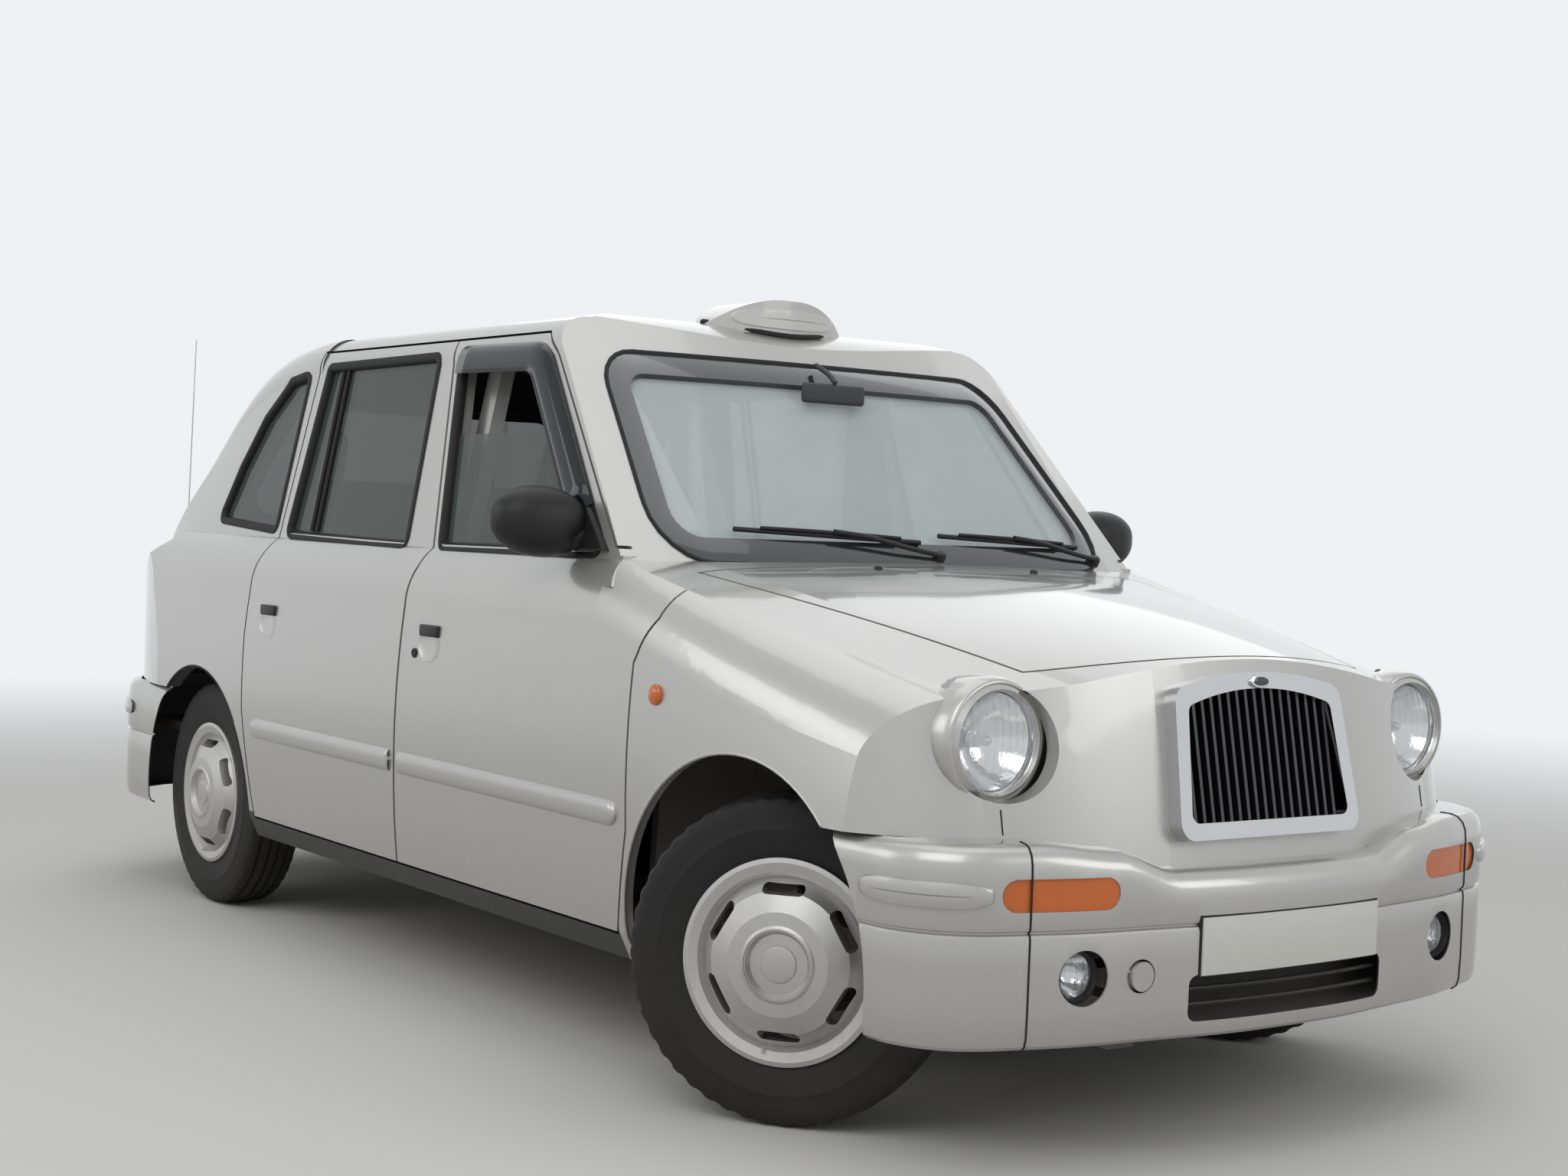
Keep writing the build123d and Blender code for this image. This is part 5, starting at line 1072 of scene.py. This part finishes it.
# Tyres: black road tyres with four ribs, cross-cut shoulders and moulded rings on the walls.
# Each is its section turned about the hub. The cover has a plain dish and ring, with a valve cap near the rim.
STEER_TURN = 36.0
WHEEL_X = {"front": 1.5075, "rear": -1.3785}
PIN_Y = {"front": 0.646, "rear": 0.752}
HUB_Y = 0.752
CUTS, CUT_DEPTH, CUT_FROM, CUT_INNER, CUT_OUTER = 96, 0.0035, 0.330, 0.0415, 0.079
HALF_TREAD = [
    (-0.0700, 0.2035), (-0.0760, 0.2160), (-0.0790, 0.2250), (-0.0830, 0.2450), (-0.0862, 0.2700),
    (-0.0870, 0.2760), (-0.0860, 0.2780), (-0.0850, 0.2950), (-0.0815, 0.3190), (-0.0780, 0.3270),
    (-0.0740, 0.3360), (-0.0640, 0.3425), (-0.0500, 0.3435), (-0.0488, 0.3370), (-0.0430, 0.3370),
    (-0.0418, 0.3442), (-0.0180, 0.3448), (-0.0168, 0.3370), (-0.0110, 0.3370), (-0.0098, 0.3450),
]
TREAD = HALF_TREAD + [(-along, radius) for along, radius in reversed(HALF_TREAD)]
COVER_DISH = [(0.1035, 0.0), (0.1085, 0.0), (0.1085, 0.030), (0.1070, 0.038), (0.1040, 0.040), (0.1000, 0.040)]
COVER_RING = [(0.1120, 0.0705), (0.1165, 0.0735), (0.1150, 0.0790), (0.1100, 0.0840), (0.1080, 0.0780)]
VALVE_CAP = [(-0.010, 0.0045), (0.008, 0.0045), (0.010, 0.003), (0.010, 0.0)]
for end in ("front", "rear"):
    for side, s in SIDES:
        wheel = f"{end}_{side}_wheel"
        turn = math.radians(STEER_TURN if end == "front" else 0.0)
        out = Vector((-s * math.sin(turn), s * math.cos(turn), 0.0))
        ahead = out.cross(Vector((0, 0, 1)))
        hub = Vector((WHEEL_X[end], s * PIN_Y[end], AXLE_HEIGHT)) + out * (HUB_Y - PIN_Y[end])
        tyre = turned(f"{end}_{side}_road_tyre", hub, out, TREAD, 192)
        for vertex in tyre.data.vertices:
            offset = vertex.co - hub
            along = offset.dot(out)
            spoke = offset - out * along
            if spoke.length > CUT_FROM and CUT_INNER < abs(along) < CUT_OUTER:
                cut = math.atan2(spoke.z, spoke.dot(ahead)) / (2 * math.pi) * CUTS + (0.25 if along > 0 else 0.75)
                if math.floor(cut) % 2 == 0:
                    vertex.co -= spoke.normalized() * CUT_DEPTH
        dress(tyre, tyre_rubber, wheel, 28.0)
        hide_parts(f"{end}_{side}_tyre")
        dress(turned(f"{end}_{side}_cover_dish", hub, out, COVER_DISH, 56), wheel_silver, wheel, 30.0)
        dress(turned(f"{end}_{side}_cover_ring", hub, out, COVER_RING, 72), wheel_silver, wheel, 40.0)
        downward = (Vector((0, 0, -0.98)) + ahead * 0.18).normalized()
        valve = turned(f"{end}_{side}_valve_cap", hub + downward * 0.186 + out * 0.083, out, VALVE_CAP, 16)
        dress(valve, plate_white, wheel, 40.0)

# Seats: foam cushions in dark woven cloth, on plain moulded shells.
# Each cushion is a rounded block puffed up by a short cloth simulation, with sewn channels pressed in after it.
PUFF_STEPS, PUFF_PRESSURE, PUFF_LIMIT, CHANNEL_DEPTH = 12, 4.0, 0.010, 0.009
weave_cloth = finish("woven_seat_cloth", (0.085, 0.090, 0.105), 0.88, dirt=0.06, mottle=0.25,
                     grain=(1500.0, 0.5), slot="seat_cloth", Sheen_Weight=0.5, Sheen_Roughness=0.4)
weave_tree = weave_cloth.node_tree
checks = new_node(weave_tree, "TexChecker")
for label, value in (
    ("Vector", object_place(weave_tree)), ("Scale", 420.0),
    ("Color1", (1.0, 1.0, 1.0, 1.0)), ("Color2", (0.62, 0.64, 0.70, 1.0)),
):
    feed(weave_tree, checks.inputs[label], value)
weave_colour = blend_colours(weave_tree, 0.8, weave_tree.nodes["weather"].outputs["Colour"],
                             checks.outputs["Color"], "MULTIPLY")
link(weave_tree, weave_colour, weave_tree.nodes["Principled BSDF"].inputs["Base Color"])


def puffed(cushion):
    """Blows the cushion up for a few frames of cloth, and keeps each point within a short move of its start."""
    starts = [v.co.copy() for v in cushion.data.vertices]
    puff = cushion.modifiers.new("puff", "CLOTH")
    puff.settings.use_pressure = True
    puff.settings.uniform_pressure_force = PUFF_PRESSURE
    puff.settings.effector_weights.gravity = 0.0
    for step in range(1, PUFF_STEPS + 1):
        bpy.context.scene.frame_set(step)
    bpy.context.view_layer.update()
    shaped = cushion.evaluated_get(bpy.context.evaluated_depsgraph_get())
    ends = [v.co.copy() for v in shaped.data.vertices]
    cushion.modifiers.remove(puff)
    bpy.context.scene.frame_set(1)
    for vertex, start, end in zip(cushion.data.vertices, starts, ends):
        shift = end - start
        if shift.length > PUFF_LIMIT:
            shift = shift.normalized() * PUFF_LIMIT
        vertex.co = start + shift


def stuffed(name, centre, size, tilt, channels=(), cell=0.014):
    """A cushion of this size, leaning back by tilt degrees; channels are (axis, place, half width)."""
    cushion = block([-v / 2 for v in size], [v / 2 for v in size], min(size) * 0.30)
    fine = cushion.modifiers.new("fine", "REMESH")
    fine.mode = "VOXEL"
    fine.voxel_size = cell
    apply_all(cushion)
    puffed(cushion)
    thin = size.index(min(size))
    for vertex in cushion.data.vertices:
        for axis, middle, width in channels:
            gap = abs(vertex.co[axis] - middle) / width
            if gap < 1 and abs(vertex.co[thin]) > size[thin] * 0.25:
                press = CHANNEL_DEPTH * (0.5 + 0.5 * math.cos(math.pi * gap))
                vertex.co[thin] -= math.copysign(press, vertex.co[thin])
    smooth = cushion.modifiers.new("smooth", "SUBSURF")
    smooth.levels = smooth.render_levels = 1
    apply_all(cushion)
    cushion.data.transform(Matrix.Translation(Vector(centre)) @ Matrix.Rotation(math.radians(tilt), 4, "Y"))
    dress(cushion, weave_cloth, angle=60.0, name=name)
    return cushion


def shell(name, low, high, edge):
    """A plain moulded block of the cabin's grained plastic."""
    dress(block(low, high, edge), cabin_moulding, angle=30.0, name=name)


SEAT_SEAMS = [(1, 0.14, 0.018), (1, -0.14, 0.018)]
BENCH_SEAMS = [(1, 0.19, 0.02), (1, -0.19, 0.02)]
TIP_SEAM = [(1, 0.0, 0.016)]
driver_pad = stuffed("driver_cushion", (0.385, -0.36, 0.625), (0.45, 0.46, 0.105), 4.0, SEAT_SEAMS)
stuffed("driver_backrest", (0.115, -0.36, 0.955), (0.095, 0.45, 0.58), -8.0, SEAT_SEAMS + [(2, 0.10, 0.018)])
stuffed("driver_headrest", (0.062, -0.36, 1.345), (0.082, 0.245, 0.185), -6.0)
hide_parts("driver_seat")
shell("driver_pedestal", (0.10, -0.56, 0.355), (0.57, -0.16, 0.565), 0.02)
for y in (-0.40, -0.32):
    bead(f"headrest_stalk_{int(-y * 100)}", [(0.085, y, 1.20), (0.070, y, 1.28)], 0.006, chrome)
for side, s in SIDES:
    y = s * 0.33
    tip = stuffed(f"{side}_tip_seat_pad", (-0.135, y, 0.720), (0.062, 0.38, 0.33), 2.0, TIP_SEAM)
    stuffed(f"{side}_tip_seat_back", (-0.122, y, 1.025), (0.052, 0.38, 0.24), 0.0, TIP_SEAM)
    shell(f"{side}_tip_seat_carrier", (-0.100, y - 0.17, 0.545), (-0.062, y + 0.17, 1.150), 0.012)
    if side == "left":
        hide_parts("folding_seats")
bench = stuffed("bench_cushion", (-1.185, 0.0, 0.700), (0.42, 1.09, 0.130), -5.0, BENCH_SEAMS, cell=0.018)
stuffed("bench_backrest", (-1.455, 0.0, 1.055), (0.120, 1.09, 0.58), -7.0, BENCH_SEAMS + [(2, 0.0, 0.02)],
        cell=0.018)
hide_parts("rear_bench")
shell("bench_plinth", (-1.52, -0.55, 0.535), (-1.17, 0.55, 0.630), 0.015)
shell("bench_toe_board", (-1.16, -0.55, 0.37), (-1.035, 0.55, 0.630), 0.015)

# Cabin fittings: a yellow grab handle each side by the rear doors, the driver's mirror, and dashboard vents.
# Handles and stalk are bent bars, the mirror a rounded block, and each vent four thin vanes.
GRAB = [(-0.985, 0.700, 1.13), (-0.965, 0.660, 1.16), (-0.960, 0.635, 1.30), (-0.965, 0.610, 1.44),
        (-0.985, 0.630, 1.47)]
VIEW_STALK = [(0.672, 0.0, 1.615), (0.640, 0.0, 1.640), (0.585, 0.0, 1.664)]
grab_yellow = finish("grab_yellow", (0.62, 0.40, 0.02), 0.38, dirt=0.1, mottle=0.1, grain=(700.0, 0.15),
                     slot="cabin_plastic")
for side, s in SIDES:
    bead(f"{side}_grab_handle", [(x, s * y, z) for x, y, z in GRAB], 0.014, grab_yellow, steps=6)
shell("driver_view_mirror", (0.655, -0.10, 1.560), (0.675, 0.10, 1.612), 0.010)
bead("view_mirror_stalk", VIEW_STALK, 0.007, cabin_moulding, steps=4)
for y in (-0.62, -0.10, 0.12, 0.60):
    for k in range(4):
        vane = block((0.774, y - 0.045, 0.955 + k * 0.014), (0.800, y + 0.045, 0.959 + k * 0.014), 0.001)
        dress(vane, moulding, angle=30.0, name=f"vent_vane_{int((y + 1) * 100)}_{k}")

# Floor: a plain pale studio floor that fades into the pale backing far from the car.
# The fade shows to the eye, in gloss and through glass, and the floor keeps the car's shadow.
FADE_FROM, FADE_TO = 3.5, 11.0
BACKING = (0.86, 0.88, 0.90, 1.0)


def seen_rays(tree):
    """1 for what the camera sees, straight, in gloss or through glass."""
    rays = new_node(tree, "LightPath").outputs
    indirect = maths(tree, "MAXIMUM", rays["Is Glossy Ray"], rays["Is Transmission Ray"])
    return maths(tree, "MAXIMUM", rays["Is Camera Ray"], indirect)


def mixed(tree, amount, first, second, output):
    """Two shaders mixed by amount into the tree's output."""
    mix = new_node(tree, "MixShader")
    for socket, source in zip(mix.inputs, (amount, first.outputs[0], second.outputs[0])):
        link(tree, source, socket)
    link(tree, mix.outputs[0], tree.nodes[output].inputs["Surface"])


bpy.ops.mesh.primitive_plane_add(size=60.0, location=(0.0, 0.0, 0.0))
floor = bpy.context.object
floor.name = "studio_floor"
floor_finish = bpy.data.materials.new("studio_floor")
floor_finish.use_nodes = True
floor_tree = floor_finish.node_tree
floor_shader = floor_tree.nodes["Principled BSDF"]
floor_shader.inputs["Base Color"].default_value = (0.72, 0.71, 0.69, 1.0)
floor_shader.inputs["Roughness"].default_value = 0.9
away = new_node(floor_tree, "VectorMath", operation="LENGTH")
link(floor_tree, object_place(floor_tree), away.inputs[0])
fade = new_node(floor_tree, "MapRange", interpolation_type="SMOOTHSTEP")
for label, value in (("From Min", FADE_FROM), ("From Max", FADE_TO), ("Value", away.outputs["Value"])):
    feed(floor_tree, fade.inputs[label], value)
pale = new_node(floor_tree, "Emission")
pale.inputs["Color"].default_value = BACKING
faded = maths(floor_tree, "MULTIPLY", fade.outputs["Result"], seen_rays(floor_tree))
mixed(floor_tree, faded, floor_shader, pale, "Material Output")
floor.data.materials.append(floor_finish)

# Light: a soft even world and five soft boxes round the car.
# The backing is seen at full strength, and lights the car at a lower one.
world = bpy.data.worlds.new("studio")
bpy.context.scene.world = world
world.use_nodes = True
sky = world.node_tree
soft = sky.nodes["Background"]
bright = new_node(sky, "Background")
for background, colour, strength in ((soft, (0.80, 0.82, 0.84, 1.0), 0.42), (bright, BACKING, 1.0)):
    background.inputs["Color"].default_value = colour
    background.inputs["Strength"].default_value = strength
mixed(sky, seen_rays(sky), soft, bright, "World Output")
# Name, place, aim, width, height and watts of each box.
SOFTBOXES = [
    ("key_softbox", (5.0, -6.0, 6.5), (0.5, 0.0, 0.8), 7.0, 5.0, 215.0),
    ("fill_softbox", (-3.0, -7.5, 4.0), (-0.5, 0.0, 0.8), 5.0, 3.5, 95.0),
    ("back_softbox", (-5.0, 6.0, 6.0), (0.0, 0.0, 0.9), 9.0, 6.0, 85.0),
    ("front_softbox", (8.0, 3.0, 4.0), (1.5, 0.0, 0.7), 4.0, 3.0, 90.0),
    ("top_softbox", (0.0, 0.0, 7.0), (0.0, 0.0, 0.0), 8.0, 5.0, 85.0),
]
for name, spot, aim, width, height, watts in SOFTBOXES:
    light = bpy.data.lights.new(name, "AREA")
    light.shape = "RECTANGLE"
    light.size, light.size_y, light.energy = width, height, watts
    lamp = placed(name, light)
    lamp.location = spot
    lamp.rotation_euler = (Vector(aim) - Vector(spot)).to_track_quat("-Z", "Y").to_euler()

# Camera: at the photograph's place and angle, low on the right front corner and tilted a little.
# Its focal length is given in pixels of the photograph's 2048 across.
AZIMUTH, ELEVATION, ROLL = math.radians(143.97), math.radians(-1.6), math.radians(2.12)
EYE, FOCAL, PHOTO_WIDTH, SENSOR = (5.3195, -3.520, 1.243), 2935.0, 2048.0, 36.0
ahead = Vector((math.cos(AZIMUTH), math.sin(AZIMUTH), 0.0)) * math.cos(ELEVATION)
ahead.z = math.sin(ELEVATION)
level = Vector((math.sin(AZIMUTH), -math.cos(AZIMUTH), 0.0))
above = level.cross(ahead)
right = level * math.cos(ROLL) + above * math.sin(ROLL)
upright = above * math.cos(ROLL) - level * math.sin(ROLL)
camera_data = bpy.data.cameras.new("photo_camera")
camera_data.sensor_width = SENSOR
camera_data.lens = FOCAL / PHOTO_WIDTH * SENSOR
camera = placed("photo_camera", camera_data)
camera.matrix_world = Matrix((
    (right.x, upright.x, -ahead.x, EYE[0]), (right.y, upright.y, -ahead.y, EYE[1]),
    (right.z, upright.z, -ahead.z, EYE[2]), (0.0, 0.0, 0.0, 1.0),
))
bpy.context.scene.camera = camera
bpy.context.scene.view_settings.view_transform = "Standard"
